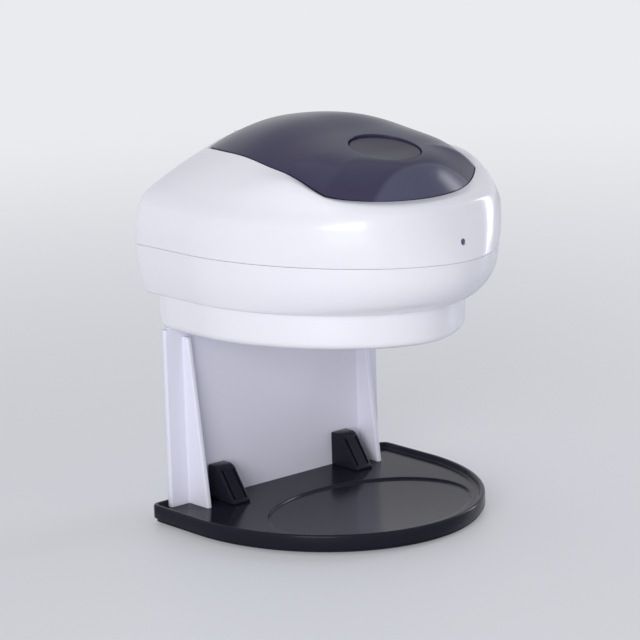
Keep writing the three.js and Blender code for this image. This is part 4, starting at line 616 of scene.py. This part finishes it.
for spot, (x, y), reach in zip(SPOTS, BASE_SCREWS, LUG_ENDS):
    way = 1 if x > 0 else -1
    lug = block(f"lower_shell_lug_{spot}", sorted((x - way * LUG_HALF, way * reach)),
                (y - LUG_HALF, y + LUG_HALF), (LUG_LOW, LUG_TOP), 0.4)
    carve(lug, [turned(f"lug_pilot_{spot}", [(PILOT, 125), (PILOT, 133)], (x, y), 24)])
    finished(lug, "shell_white")

# Upper shell. The white dome: a wall that leans in a little above the parting line, a soft
# shoulder and a crown with the opening for the lid. Towards its tip the opening's edge dips, and
# the crown beside it bends down to it. Bosses inside hold the hinge pin.
DOME_AWAY = [0, 25, 50, 75, 99, 122, 140, 148.2]
DOME_RISE = [195.1, 202.9, 204.98, 199.6, 194.24, 188.74, 179.26, 171.4]
ARCH_PLACE, ARCH = [0, 0.4, 0.7, 1], [1.49, 3.03, 5.24, 10.7]
SHOULDER_HALF, SHOULDER_FRONT, SHOULDER_POWER = 71.5, -148.2, 2.3
WALL_UP, WALL_SIDE, WALL_FRONT = [0, 0.3, 0.6, 0.86, 1], [0, 0.08, 0.27, 0.52, 1], [0, 0.26, 0.55, 0.85, 1]
WALL_NARROWS, WALL_SHORTENS, INNER_FACE = 8.5, 7.3, -2.9
HINGE_Y, HINGE_Z, NOTCH_HALF, BOSS_END, PIN_BORE = -4.8, 192.9, 11.1, 16.6, 1.07
REAR_SCREW_X, REAR_SCREW_Z, REAR_LUG_HALF, REAR_LUG_END = 58, 158, 4, 76
LAMP_Z, LAMP_FRONT, LAMP_BORE = 154.3, -153.05, 1.65


def dome_height(x, y):
    """Height of the crown's outer face above any place in plan."""
    x, y = np.asarray(x, float), np.asarray(y, float)
    share = np.clip((HEAD_MID - y) / (HEAD_MID - SHOULDER_FRONT), 0, 1)
    half = SHOULDER_HALF * (1 - share**SHOULDER_POWER) ** (1 / SHOULDER_POWER)
    across = np.where(half > 1e-3, np.minimum(np.abs(x) / np.maximum(half, 1e-3), 1), 1)
    arch = smooth_table(y / SHOULDER_FRONT, ARCH_PLACE, ARCH)
    crown = smooth_table(-y, DOME_AWAY, DOME_RISE)
    return SHOULDER_Z + (crown - SHOULDER_Z) * (1 - across**arch)


def wall_half(up):
    """Half width of the wall at a share of its height."""
    return HEAD_HALF - WALL_NARROWS * smooth_table(up, WALL_UP, WALL_SIDE)


def bezier(a, b, c, d, count):
    t = np.linspace(0, 1, count)[:, None]
    a, b, c, d = (np.array(p, float) for p in (a, b, c, d))
    return (1 - t)**3 * a + 3 * (1 - t)**2 * t * b + 3 * (1 - t) * t**2 * c + t**3 * d


def lid_side(inset, rear):
    """The lid's right edge in plan, from its rear corner round the bend beside the pad to its tip."""
    bend, tip = (50.7 - inset, -110.2), -134.9 + inset
    first = bezier((37 - inset, rear), (53 - inset, -32), (56.5 - inset, -82), bend, 200)
    second = bezier(bend, (41.5 - inset, -118.5), (22, tip), (0, tip), 120)
    return np.vstack([first, second[1:]])


def run_along(line):
    """How far along a polyline each of its points lies."""
    return np.concatenate([[0], np.cumsum(np.hypot(*np.diff(line, axis=0).T))])


def spread(line, shares):
    """Points on a polyline at shares of its length."""
    run = run_along(line)
    return np.column_stack([np.interp(np.asarray(shares) * run[-1], run, line[:, k]) for k in (0, 1)])


shoulder_u = u_outline(SHOULDER_HALF, SHOULDER_FRONT, SHOULDER_POWER)
u_count = len(shoulder_u)
u_run = run_along(shoulder_u)
REAR_COUNT = 36


def lid_loop(inset, rear):
    """The lid's whole outline, matched point for point to the shoulder and the rear line."""
    side = lid_side(inset, rear)
    whole = np.vstack([side * (-1, 1), side[::-1][1:]])
    front = spread(whole, u_run / u_run[-1])
    x = np.linspace(whole[-1, 0], whole[0, 0], REAR_COUNT + 2)[1:-1]
    return np.vstack([front, np.column_stack([x, np.full(REAR_COUNT, rear)])])


opening = lid_loop(0, -6.7)
LIP_AWAY = [70, 85, 95, 104, 110.2, 113.5, 120.9, 128.1, 132.7, 134.9]
LIP_RISE = [190.1, 187.3, 184.5, 181, 178.5, 177.2, 175.5, 174.5, 174.1, 174]
LIP_STARTS, LIP_FULL, BROW = 66, 88, 4.5
BROW_AWAY, BROW_SHARE = [50, 60, 75, 90, 100], [0, 0.12, 0.5, 0.88, 1]
away = -opening[:, 1]
lip_sunk = np.maximum(dome_height(*opening.T) - smooth_table(away, LIP_AWAY, LIP_RISE), 0)
lip_sunk *= np.clip((away - LIP_STARTS) / (LIP_FULL - LIP_STARTS), 0, 1)
lip_height = dome_height(*opening.T) - lip_sunk
brow_share = smooth_table(away, BROW_AWAY, BROW_SHARE)
rear_x = np.linspace(SHOULDER_HALF, -SHOULDER_HALF, REAR_COUNT + 2)[1:-1]
shoulder_loop = np.vstack([shoulder_u, np.column_stack([rear_x, np.zeros(REAR_COUNT)])])
crown_rows = []
for t in np.concatenate([[0, 0.03], np.linspace(0.08, 0.86, 19), [0.9, 0.93, 0.955, 0.975, 0.99, 1]]):
    plan = opening + (shoulder_loop - opening) * t
    brow = SHOULDER_Z + (lip_height - SHOULDER_Z) * (1 - t**BROW)
    crown_rows.append(np.column_stack([plan, brow_share * brow + (1 - brow_share) * dome_height(*plan.T)]))
wall_rows = []
wall_ups = np.concatenate([[0.98, 0.955, 0.92], np.linspace(0.88, 0.15 / (SHOULDER_Z - PARTING_Z), 24)])
for up in wall_ups:
    front = HEAD_FRONT + WALL_SHORTENS * smooth_table(up, WALL_UP, WALL_FRONT)
    plan = u_outline(wall_half(up), front, HEAD_POWER + (SHOULDER_POWER - HEAD_POWER) * up)
    wall_rows.append(at_height(plan, PARTING_Z + up * (SHOULDER_Z - PARTING_Z)))
EASED_CROWN, EASED_WALL, EASE_TURNS = 8, 7, 14
near = np.array([row[:u_count] for row in crown_rows[-EASED_CROWN:]] + wall_rows[:EASED_WALL])
for _ in range(EASE_TURNS):
    near[1:-1] = (near[:-2] + 2 * near[1:-1] + near[2:]) / 4
for row, eased in zip(crown_rows[-EASED_CROWN:], near):
    row[:u_count] = eased
wall_rows[:EASED_WALL] = list(near[EASED_CROWN:])
loop_count = len(opening)
last_row = (len(crown_rows) - 1) * loop_count
wall_first = len(crown_rows) * loop_count
shell_faces = ring_faces(len(crown_rows), loop_count)
shell_faces += [(last_row + k, last_row + k + 1, wall_first + k + 1, wall_first + k)
                for k in range(u_count - 1)]
shell_faces += ring_faces(len(wall_rows), u_count, False, wall_first)
upper = bare_mesh("upper_shell_moulding", np.vstack(crown_rows + wall_rows), shell_faces)
skinned(upper, WALL, (0, -60, 150))
carve(upper, [
    block("hinge_notch", (-NOTCH_HALF, NOTCH_HALF), (-8.4, -2.2), (180, 215)),
    turned("lamp_bore", [(LAMP_BORE, -157), (LAMP_BORE, -148)], (0, LAMP_Z), 32, "y")])
finished(upper, "shell_white", nodes=["upper_shell"], angle=50)
for hand, way in HANDS:
    boss = block(f"hinge_boss_{hand}", sorted((way * NOTCH_HALF, way * BOSS_END)), (-6.6, INNER_FACE),
                 (HINGE_Z - 2.7, HINGE_Z + 1.6), 0.3)
    carve(boss, [turned(f"pin_bore_{hand}", [(PIN_BORE, -17), (PIN_BORE, 17)], (HINGE_Y, HINGE_Z), 24, "x")])
    finished(boss, "shell_white")
    lug = block(
        f"rear_screw_lug_{hand}", sorted((way * (REAR_SCREW_X - REAR_LUG_HALF), way * REAR_LUG_END)),
        (-12, INNER_FACE), (REAR_SCREW_Z - REAR_LUG_HALF, REAR_SCREW_Z + REAR_LUG_HALF), 0.4)
    carve(lug, [turned(
        f"rear_pilot_{hand}", [(PILOT, -14), (PILOT, -1)], (way * REAR_SCREW_X, REAR_SCREW_Z), 24, "y")])
    finished(lug, "shell_white")

# Rear cover. A flat white plate let into the back of the head, with two keyholes for wall
# screws and two bosses that reach in to the panel's tongue.
COVER_GAP, COVER_THICK, COVER_HALF, COVER_LOW, COVER_LIP, SEAT_Y = 2.7, 2.6, 72.1, 119.7, 122.1, -2.3
KEYHOLE_X, KEYHOLE_Z, KEYHOLE_RADIUS, SLOT_HALF, SLOT_TOP = 32, 158, 4.5, 2.1, 167
cover_side = [(COVER_HALF, COVER_LOW), (COVER_HALF, COVER_LIP)]
cover_side += [(band_half(up) - COVER_GAP, STEP_Z + up * (PARTING_Z - STEP_Z))
               for up in np.linspace(0.14, 1, 9)]
cover_side += [(wall_half(up) - COVER_GAP, PARTING_Z + up * (SHOULDER_Z - PARTING_Z - COVER_GAP))
               for up in np.linspace(0.1, 1, 10)]
cover_side += [(x * (1 - COVER_GAP / SHOULDER_HALF), float(dome_height(x, 0)) - COVER_GAP)
               for x in np.linspace(SHOULDER_HALF * 0.97, 0, 26)]
cover_outline = cover_side + [(-x, z) for x, z in reversed(cover_side[:-1])]
cover = pushed("rear_cover_moulding", cover_outline, -COVER_THICK, 0, "y")
settle(soften(cover, 0.4, limit=50))
cover_cuts = []
for hand, way in HANDS:
    gap = math.asin(SLOT_HALF / KEYHOLE_RADIUS) / (math.pi / 2)
    keyhole = arc(way * KEYHOLE_X, KEYHOLE_Z, KEYHOLE_RADIUS, 1 + gap, 5 - gap, 40)
    keyhole += arc(way * KEYHOLE_X, SLOT_TOP, SLOT_HALF, 0, 2, 16)
    cover_cuts.append(pushed(f"keyhole_{hand}", keyhole, -5, 3, "y"))
    for spot, x, z in (("low", PANEL_SCREW_X, PANEL_SCREW_Z), ("high", REAR_SCREW_X, REAR_SCREW_Z)):
        cover_cuts += [
            turned(f"sink_{spot}_{hand}", [(POCKET, SEAT_Y), (POCKET, 3)], (way * x, z), 32, "y"),
            turned(f"way_{spot}_{hand}", [(SCREW_WAY, -6), (SCREW_WAY, 3)], (way * x, z), 24, "y")]
carve(cover, cover_cuts)
finished(cover, "panel_white", nodes=["rear_cover"])
for hand, way in HANDS:
    boss = turned(f"rear_cover_boss_{hand}", [
        (SCREW_WAY, -6.2), (4.7, -6.2), (5, -5.9), (5, -2.4), (SCREW_WAY, -2.4)],
        (way * PANEL_SCREW_X, PANEL_SCREW_Z), 32, "y", hollow=True)
    finished(boss, "panel_white")
cover_lip = block(
    "rear_cover_lip", (-COVER_HALF, COVER_HALF), (-5.9, -2.4), (COVER_LOW, COVER_LIP), 0.4)
finished(cover_lip, "panel_white")

# Indicator lamp. A small dark lens in a bore on the middle of the front wall.
plastic("led_blue", (0.05, 0.05, 0.14), 0.12, 400, coat=1.0)
lamp = turned("indicator_lens", [
    (0, LAMP_FRONT), (0.6, LAMP_FRONT + 0.04), (1.2, LAMP_FRONT + 0.2), (1.5, LAMP_FRONT + 0.5),
    (1.5, -150.4), (2.45, -149.9), (2.45, -148.94), (3.6, -148.94), (3.6, -147.74), (0, -147.74)],
    (0, LAMP_Z), 32, "y")
finished(lamp, "led_blue", nodes=["led_lens"])

# Lid. Smoky moulded plastic that follows the crown. Its front apron, ahead of a shallow curved
# crease, is painted a little lighter as a painted reflection. An arm under its rear edge turns on the hinge
# pin.
LID_GAP, LID_SKIN, LID_REAR = 0.5, 2.2, -8.5
PAD_Y, PAD_HOLE = -99.1, 18.05
ARM_HALF, ARM_ROUND = 10.6, 1.9
CREASE_BOW, CREASE_REAR, CREASE_FRONT = 2.9, -0.0428, -0.0455
lid_outer = lid_loop(LID_GAP, LID_REAR)
direction = np.arctan2(lid_outer[:, 1] - PAD_Y, lid_outer[:, 0])
hole = np.column_stack([PAD_HOLE * np.cos(direction), PAD_Y + PAD_HOLE * np.sin(direction)])
lid_rows = []
for t in np.concatenate([[0, 0.012], np.linspace(0.04, 0.96, 30), [0.985, 1]]):
    plan = lid_outer + (hole - lid_outer) * t
    lid_rows.append(np.column_stack([plan, dome_height(*plan.T) - lip_sunk * (1 - t) ** 2]))


def smoky(name, colour, apron_reflection, roughness):
    """Tinted gloss. Ahead of a curved crease the colour is painted lighter as a painted reflection, and the
    crease itself is a bump.
    """
    tree, shader, where = plastic(name, colour, roughness, 500, cast=0.08, gloss_level=0.14)
    base, normal = [shader.inputs[label].links[0].from_socket for label in ("Base Color", "Normal")]
    split = add_node(tree, "ShaderNodeSeparateXYZ", {"Vector": where}).outputs
    square = reckon(tree, "MULTIPLY", split["X"], split["X"])
    bow = reckon(tree, "MULTIPLY_ADD", square, CREASE_BOW, split["Y"])
    ahead_of = add_node(tree, "ShaderNodeMapRange", {
        "Value": bow, "From Min": CREASE_REAR, "From Max": CREASE_FRONT}, interpolation_type="SMOOTHSTEP")
    # Ahead of the crease the base colour is mixed toward the lighter one: a painted reflection, not the lid's
    # own tint.
    drift_and_painted_reflection = add_node(tree, "ShaderNodeMix", {
        "Factor": ahead_of, "A": base, "B": (*apron_reflection, 1)}, data_type="RGBA")
    step = add_node(tree, "ShaderNodeBump", {
        "Strength": 0.5, "Distance": 0.0006, "Height": ahead_of, "Normal": normal})
    wire(tree, shader, {"Base Color": drift_and_painted_reflection.outputs["Result"], "Normal": step})


# The second colour is the painted reflection on the lid's front apron.
smoky("lid_smoky", (0.052, 0.047, 0.09), (0.088, 0.088, 0.145), 0.22)
lid = stacked("lid_moulding", lid_rows, skin=True)
skinned(lid, LID_SKIN, (0, -80, 150), 0.45)
finished(lid, "lid_smoky", "lid_unit", ["lid"], angle=50)
arm_profile = arc(HINGE_Y, HINGE_Z, ARM_ROUND, -1, 1, 16)
arm_profile += [(-6.9, HINGE_Z + 1.85), (-7.5, HINGE_Z + 2.3), (-8.6, HINGE_Z + 3.3), (-12, HINGE_Z + 3.9),
                (-12, HINGE_Z - 1.3), (-7.2, HINGE_Z - 1.4)]
arm = pushed("lid_hinge_arm", arm_profile, -ARM_HALF, ARM_HALF)
carve(arm, [turned("arm_bore", [(PIN_BORE, -12), (PIN_BORE, 12)], (HINGE_Y, HINGE_Z), 24, "x")])
finished(arm, "lid_smoky", "lid_unit")

# Press pad. The thumb pad set in the lid: a shallow dish whose rear edge drops sharply below
# the lid and whose front edge comes back nearly flush. A flange and a stem under it guide it.
smoky("pad_smoky", (0.028, 0.025, 0.05), (0.028, 0.025, 0.05), 0.3)
PAD_RADIUS, PAD_FACE, PAD_SIDES = 17.6, 16.6, 96
PAD_SUNK, PAD_TILT, PAD_DISH = 0.75, 0.35, 0.45


def pad_ring(radius, drop, dished=True):
    """A ring that follows the crown, a drop below the pad's dish or below the crown itself."""
    around = np.linspace(0, 2 * math.pi, PAD_SIDES, endpoint=False)
    x, y = radius * np.cos(around), PAD_Y + radius * np.sin(around)
    dish = PAD_SUNK + PAD_TILT * (y - PAD_Y) / PAD_RADIUS + PAD_DISH * (1 - (radius / PAD_RADIUS) ** 2)
    return np.column_stack([x, y, dome_height(x, y) - (dish if dished else 0) - drop])


pad_rows = [pad_ring(*row) for row in [
    (PAD_FACE, 2.6), (17.3, 2.4), (PAD_RADIUS, 1.9), (PAD_RADIUS, 0.5), (17.45, 0.15), (17.1, 0.02),
    (PAD_FACE, 0)]]
pad_rows += [pad_ring(PAD_FACE * (1 - k / 12), 0) for k in range(1, 12)] + [pad_ring(0.05, 0)]
flange_rows = [pad_ring(radius, drop, False) for radius, drop in [
    (16, 2.8), (19.7, 2.8), (20, 3.0), (20, 3.8), (19.7, 4.0), (16, 4.0)]]
pad = stacked("press_pad", pad_rows)
finished(pad, "lid_smoky", "button", ["lid_button"], angle=50, look="pad_smoky")
pad_flange = stacked("press_pad_flange", flange_rows, hollow=True)
finished(pad_flange, "lid_smoky", "button", angle=50, look="pad_smoky")
stem = turned("press_pad_stem", [
    (0, 178.5), (2.6, 178.5), (3, 178.9), (3, 185.2), (6.3, 185.2), (6.6, 185.5), (6.6, 191.6), (0, 191.6)],
    (0, PAD_Y))
finished(stem, "lid_smoky", "button", look="pad_smoky")

# Pad spring. One steel wire wound into a compression spring that sits in the cup under the pad.
# A geometry tree sweeps a round wire along a spiral.


def metal(name, colour, roughness, stretch):
    """Drawn or turned metal with fine lines along one way."""
    looks[name], tree, shader, where = new_look(name)
    aim = add_node(tree, "ShaderNodeMapping", {"Vector": where, "Scale": stretch})
    lines = add_node(tree, "ShaderNodeTexNoise", {"Vector": aim, "Scale": 900})
    gloss = add_node(tree, "ShaderNodeMapRange", {
        "Value": lines, "To Min": roughness * 0.7, "To Max": roughness * 1.4})
    bump = add_node(tree, "ShaderNodeBump", {"Strength": 0.1, "Distance": 0.0001, "Height": lines})
    wire(tree, shader, {
        "Base Color": (*colour, 1), "Metallic": 1, "Roughness": gloss, "Normal": bump})


def new_tree(name, **sizes):
    """A geometry tree with named inputs of each kind. Returns it, those inputs and its add_node."""
    tree = bpy.data.node_groups.new(name, "GeometryNodeTree")
    tree.interface.new_socket("Geometry", in_out="OUTPUT", socket_type="NodeSocketGeometry")
    tree.interface.new_socket("Geometry", in_out="INPUT", socket_type="NodeSocketGeometry")
    for kind, labels in sizes.items():
        for label in labels:
            tree.interface.new_socket(label, in_out="INPUT", socket_type=f"NodeSocket{kind}")
    return tree, tree.nodes.new("NodeGroupInput").outputs, partial(add_node, tree)


def end_tree(tree, shape, stuff):
    """Ends a geometry tree with real points and faces in their material."""
    whole = add_node(tree, "GeometryNodeRealizeInstances", {0: shape})
    dressed = add_node(tree, "GeometryNodeSetMaterial", {"Geometry": whole, "Material": stuff})
    add_node(tree, "NodeGroupOutput", {0: dressed})


def grow(piece, tree, values):
    """Runs a geometry tree on a piece once and keeps the plain mesh that it makes."""
    grower = piece.modifiers.new("grow", "NODES")
    grower.node_group = tree
    for item in tree.interface.items_tree:
        if item.in_out == "INPUT" and item.name in values:
            grower[item.identifier] = values[item.name]
    return settle(piece)


metal("steel", (0.58, 0.59, 0.61), 0.3, (1, 1, 0.08))
SPRING_FOOT, SPRING_RISE, SPRING_WIRE, SPRING_PRESSED = 180.05, 4.9, 0.4, 3.5
SPRING_RADIUS, SPRING_TURNS = 5, 3.0
spring_tree, given, add = new_tree(
    "wound_spring", Float=["Coil radius", "Wire radius", "Turns", "Height"], Vector=["Foot"],
    Material=["Metal"])
spiral = add("GeometryNodeCurveSpiral", {
    "Resolution": 40, "Rotations": given["Turns"], "Start Radius": given["Coil radius"],
    "End Radius": given["Coil radius"], "Height": given["Height"]})
wire_round = add("GeometryNodeCurvePrimitiveCircle", {"Resolution": 12, "Radius": given["Wire radius"]})
swept = add("GeometryNodeCurveToMesh", {"Curve": spiral, "Profile Curve": wire_round, "Fill Caps": True})
moved = add("GeometryNodeTransform", {"Geometry": swept, "Translation": given["Foot"]})
end_tree(spring_tree, moved, given["Metal"])
spring = bare_mesh("pad_spring", [(0, PAD_Y, SPRING_FOOT)], [])
grow(spring, spring_tree, {
    "Coil radius": SPRING_RADIUS * MM, "Wire radius": SPRING_WIRE * MM, "Turns": SPRING_TURNS,
    "Height": (SPRING_RISE - 2 * SPRING_WIRE) * MM,
    "Foot": metres(0, PAD_Y, SPRING_FOOT + SPRING_WIRE), "Metal": looks["steel"]})
finished(spring, "steel", "lid_unit", ["button_spring"], angle=60)
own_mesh(spring)

# Soap tank. One milky moulding hung by its flange on the lower shell's shelf, with a filling
# neck under the lid and a short spigot over the pump.
plastic("tank_clear", (0.82, 0.86, 0.9), 0.3, 500, cast=0.03)
TANK_HALF, TANK_REAR, TANK_FRONT, TANK_BOTTOM, TANK_TOP = 68, -13.5, -139, 132.5, 176.0
TANK_POWER, NECK_Y = 1.9, -51.5


def tank_ring(inset, z):
    return at_height(d_outline(
        TANK_HALF - inset, TANK_REAR - inset, HEAD_MID, TANK_FRONT + inset, TANK_POWER, 3), z)


tank_rows = [tank_ring(*row) for row in [
    (3.0, TANK_BOTTOM), (1.8, 132.9), (0.8, 133.7), (0.2, 134.8), (0, 136), (0, 150), (0, 164.4),
    (0.15, 165.5), (0.7, 166.6), (9.3, 175.2), (9.9, 175.75), (10.6, TANK_TOP)]]
finished(stacked("soap_tank_body", tank_rows), "tank_clear", nodes=["soap_tank"])
flange_rows = [tank_ring(*row) for row in [
    (0.8, 142.5), (-6.1, 142.5), (-6.4, 142.8), (-6.4, 144.2), (-6.1, 144.5), (0.8, 144.5)]]
for row in flange_rows:
    row[:, 1] = np.minimum(row[:, 1], TANK_REAR)
finished(stacked("soap_tank_flange", flange_rows, hollow=True), "tank_clear")
neck = turned("soap_tank_neck", [
    (15.5, 175), (18, 175), (18, 185.7), (17.7, 186), (15.8, 186), (15.5, 185.7)], (0, NECK_Y), 64,
    hollow=True)
finished(neck, "tank_clear")
spigot = turned("soap_tank_spigot", [
    (2.5, 129.8), (3.8, 129.6), (4, 129.8), (4, 133), (2.5, 133)], (0, SPOUT_Y), 32, hollow=True)
finished(spigot, "tank_clear")

# Tank cap. A grey screw cap on the filling neck. A geometry tree sets its grip ribs in a ring.
plastic("cap_grey", (0.28, 0.3, 0.35), 0.45, 900)
cap = turned("tank_cap_moulding", [
    (0, 187.2), (18.45, 187.2), (18.45, 177.0), (20.1, 177.0), (20.4, 177.3), (20.4, 188.2), (20.1, 188.9),
    (19.4, 189.3), (18.4, 189.4), (15.6, 189.4), (15.1, 189.2), (14.8, 188.8), (0, 188.7)], (0, NECK_Y), 96)
rib_tree, given, add = new_tree(
    "grip_ribs", Int=["Ribs"], Float=["Ring radius", "Rib radius", "Rib height"], Vector=["Middle"],
    Material=["Plastic"])
rib_ring = add("GeometryNodeMeshCircle", {"Vertices": given["Ribs"], "Radius": given["Ring radius"]})
rib = add("GeometryNodeMeshCylinder", {
    "Vertices": 12, "Radius": given["Rib radius"], "Depth": given["Rib height"]})
ribs = add("GeometryNodeInstanceOnPoints", {"Points": rib_ring, "Instance": rib})
ribs_moved = add("GeometryNodeTransform", {"Geometry": ribs, "Translation": given["Middle"]})
both = add("GeometryNodeJoinGeometry", {0: ribs_moved})
wire(rib_tree, both, {0: given["Geometry"]})
end_tree(rib_tree, both, given["Plastic"])
grow(cap, rib_tree, {
    "Ribs": 24, "Ring radius": 20.2 * MM, "Rib radius": 1.3 * MM, "Rib height": 10.4 * MM,
    "Middle": metres(0, NECK_Y, 182.7), "Plastic": looks["cap_grey"]})
finished(cap, "cap_grey", "cap", ["tank_cap"])

# Screws. Pan-head steel screws with a cross recess. One geometry tree makes a screw from its
# sizes and sets it on every place where that length is used.
SCREW_HEAD, SCREW_HEAD_HIGH, SCREW_SHANK, SHANK_ROOT = 2.9, 2, 1.5, 0.001
screw_tree, given, add = new_tree(
    "pan_head_screws", Float=["Head radius", "Head height", "Shank radius", "Length"],
    Vector=["Cross", "Turn"], Material=["Metal"])


def lifted(shape, z):
    """A shape of the screw's tree raised along the screw."""
    up = add_node(screw_tree, "ShaderNodeCombineXYZ", {"Z": z})
    return add_node(screw_tree, "GeometryNodeTransform", {"Geometry": shape, "Translation": up})


head = add("GeometryNodeMeshCylinder", {
    "Vertices": 32, "Radius": given["Head radius"], "Depth": given["Head height"]})
head_set = lifted(head, reckon(screw_tree, "MULTIPLY", given["Head height"], -0.5))
shank_long = reckon(screw_tree, "ADD", given["Length"], SHANK_ROOT)
shank = add("GeometryNodeMeshCylinder", {
    "Vertices": 20, "Radius": given["Shank radius"], "Depth": shank_long})
shank_out = reckon(screw_tree, "SUBTRACT", given["Length"], SHANK_ROOT)
shank_set = lifted(shank, reckon(screw_tree, "MULTIPLY", shank_out, 0.5))
cross = add("GeometryNodeMeshCube", {"Size": given["Cross"]})
across = add("GeometryNodeTransform", {"Geometry": cross, "Rotation": (0, 0, math.pi / 2)})
cross_low = reckon(screw_tree, "MULTIPLY", given["Head height"], -1)
recess_one = add("GeometryNodeMeshBoolean", {0: head_set, 1: lifted(cross, cross_low)})
recess_two = add("GeometryNodeMeshBoolean", {0: recess_one, 1: lifted(across, cross_low)})
one_screw = add("GeometryNodeJoinGeometry", {0: recess_two})
wire(screw_tree, one_screw, {0: shank_set})
facing = add("FunctionNodeEulerToRotation", {0: given["Turn"]})
set_screws = add("GeometryNodeInstanceOnPoints", {
    "Points": given["Geometry"], "Instance": one_screw, "Rotation": facing})
end_tree(screw_tree, set_screws, given["Metal"])
BOTH = ("right", "left")
for stem, spots, right_places, length, turn in [
    ("clip_screw", BOTH, [(CLIP_X, CLIP_SCREW_Y, TRAY_UNDER)], 12.0, 0),
    ("base_screw", SPOTS, [(x, y, SEAT_Z) for x, y in BASE_SCREWS if x > 0], 12.8, 0),
    ("rear_cover_screw", BOTH, [(REAR_SCREW_X, SEAT_Y, REAR_SCREW_Z)], 10.0, math.pi / 2),
    ("panel_screw", BOTH, [(PANEL_SCREW_X, SEAT_Y, PANEL_SCREW_Z)], 6.6, math.pi / 2),
]:
    screws = bare_mesh(f"{stem}s", [(way * x, y, z) for x, y, z in right_places for _, way in HANDS], [])
    grow(screws, screw_tree, {
        "Head radius": SCREW_HEAD * MM, "Head height": SCREW_HEAD_HIGH * MM,
        "Shank radius": SCREW_SHANK * MM, "Length": length * MM,
        "Cross": (3.4 * MM, 0.7 * MM, 1.8 * MM), "Turn": (turn, 0, 0), "Metal": looks["steel"]})
    settle(soften(screws, 0.25, 2, 60))
    finished(screws, "steel", nodes=[f"{stem}_{spot}" for spot in spots])

# Battery door. A white flap in the skirt's floor that turns on two pins at its rear edge. A
# geometry tree lays the row of finger grooves that is cut near its front edge.
DOOR_AXIS_Y, DOOR_AXIS_Z, DOOR_ROUND, DOOR_TOP, DOOR_EDGE = -16.95, 102.05, 1.15, 103.2, 0.3
door_profile = arc(DOOR_AXIS_Y, DOOR_AXIS_Z, DOOR_ROUND, -1, 1, 12) + [
    (DOOR_FRONT + DOOR_EDGE, DOOR_TOP), (DOOR_FRONT, DOOR_TOP - DOOR_EDGE),
    (DOOR_FRONT, SKIRT_BOTTOM + DOOR_EDGE), (DOOR_FRONT + DOOR_EDGE, SKIRT_BOTTOM)]
door = pushed("battery_door_flap", door_profile, -DOOR_HALF, DOOR_HALF)
groove_tree, given, add = new_tree(
    "finger_grooves", Int=["Grooves"], Vector=["First", "Step", "Size"], Material=["Plastic"])
groove_line = add("GeometryNodeMeshLine", {
    "Count": given["Grooves"], "Start Location": given["First"], "Offset": given["Step"]})
groove_bar = add("GeometryNodeMeshCube", {"Size": given["Size"]})
groove_set = add("GeometryNodeInstanceOnPoints", {"Points": groove_line, "Instance": groove_bar})
end_tree(groove_tree, groove_set, given["Plastic"])
grooves = bare_mesh("finger_grooves", [(0, 0, 0)], [])
grow(grooves, groove_tree, {
    "Grooves": 5, "First": metres(0, -46.2, SKIRT_BOTTOM), "Step": (0, 1.7 * MM, 0),
    "Size": (28 * MM, 0.8 * MM, 0.9 * MM), "Plastic": looks["shell_white"]})
carve(door, [grooves])
finished(door, "shell_white", "door", ["battery_door"], angle=30)
for hand, way in HANDS:
    pin = turned(f"door_pin_{hand}", [(0.9, way * 56), (0.9, way * 58), (0.7, way * 58.2)],
                 (DOOR_AXIS_Y, DOOR_AXIS_Z), 20, "x")
    finished(pin, "shell_white", "door")

# Inner works and small fittings. They keep the shapes that the drawing gives them, each in the
# finish of its own stuff. Only the spout is turned anew, because it shows from below.
plastic("inner_grey", (0.11, 0.12, 0.14), 0.5, 900)
spout = turned("spout", [
    (2.4, 96.7), (2.7, 96.4), (3.4, 96.4), (3.75, 96.7), (6.3, 98.6), (6.4, 99.0), (6.4, 103.55),
    (9.4, 103.55), (9.4, 105.35), (2.4, 105.35)], (0, SPOUT_Y), hollow=True)
finished(spout, "inner_grey", nodes=["nozzle"])
plastic("silicone", (0.78, 0.8, 0.82), 0.5, 800)
plastic("gear_white", (0.82, 0.8, 0.74), 0.42, 900)
plastic("board_green", (0.02, 0.18, 0.07), 0.4, 1500)
plastic("lens_dark", (0.014, 0.008, 0.012), 0.1, 300, coat=0.6)
plastic("cell_jacket", (0.05, 0.055, 0.065), 0.35, 700)
metal("motor_steel", (0.45, 0.46, 0.48), 0.35, (0.08, 1, 1))
metal("contact_brass", (0.76, 0.6, 0.28), 0.28, (1, 0.1, 1))
slots = {row["node"]: row["material_slot"] for row in frame["record"]["subparts"]}
for node, solid in frame["nodes"].items():
    solid.data.materials.clear()
    solid.data.materials.append(looks[slots[node]])

low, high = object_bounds()
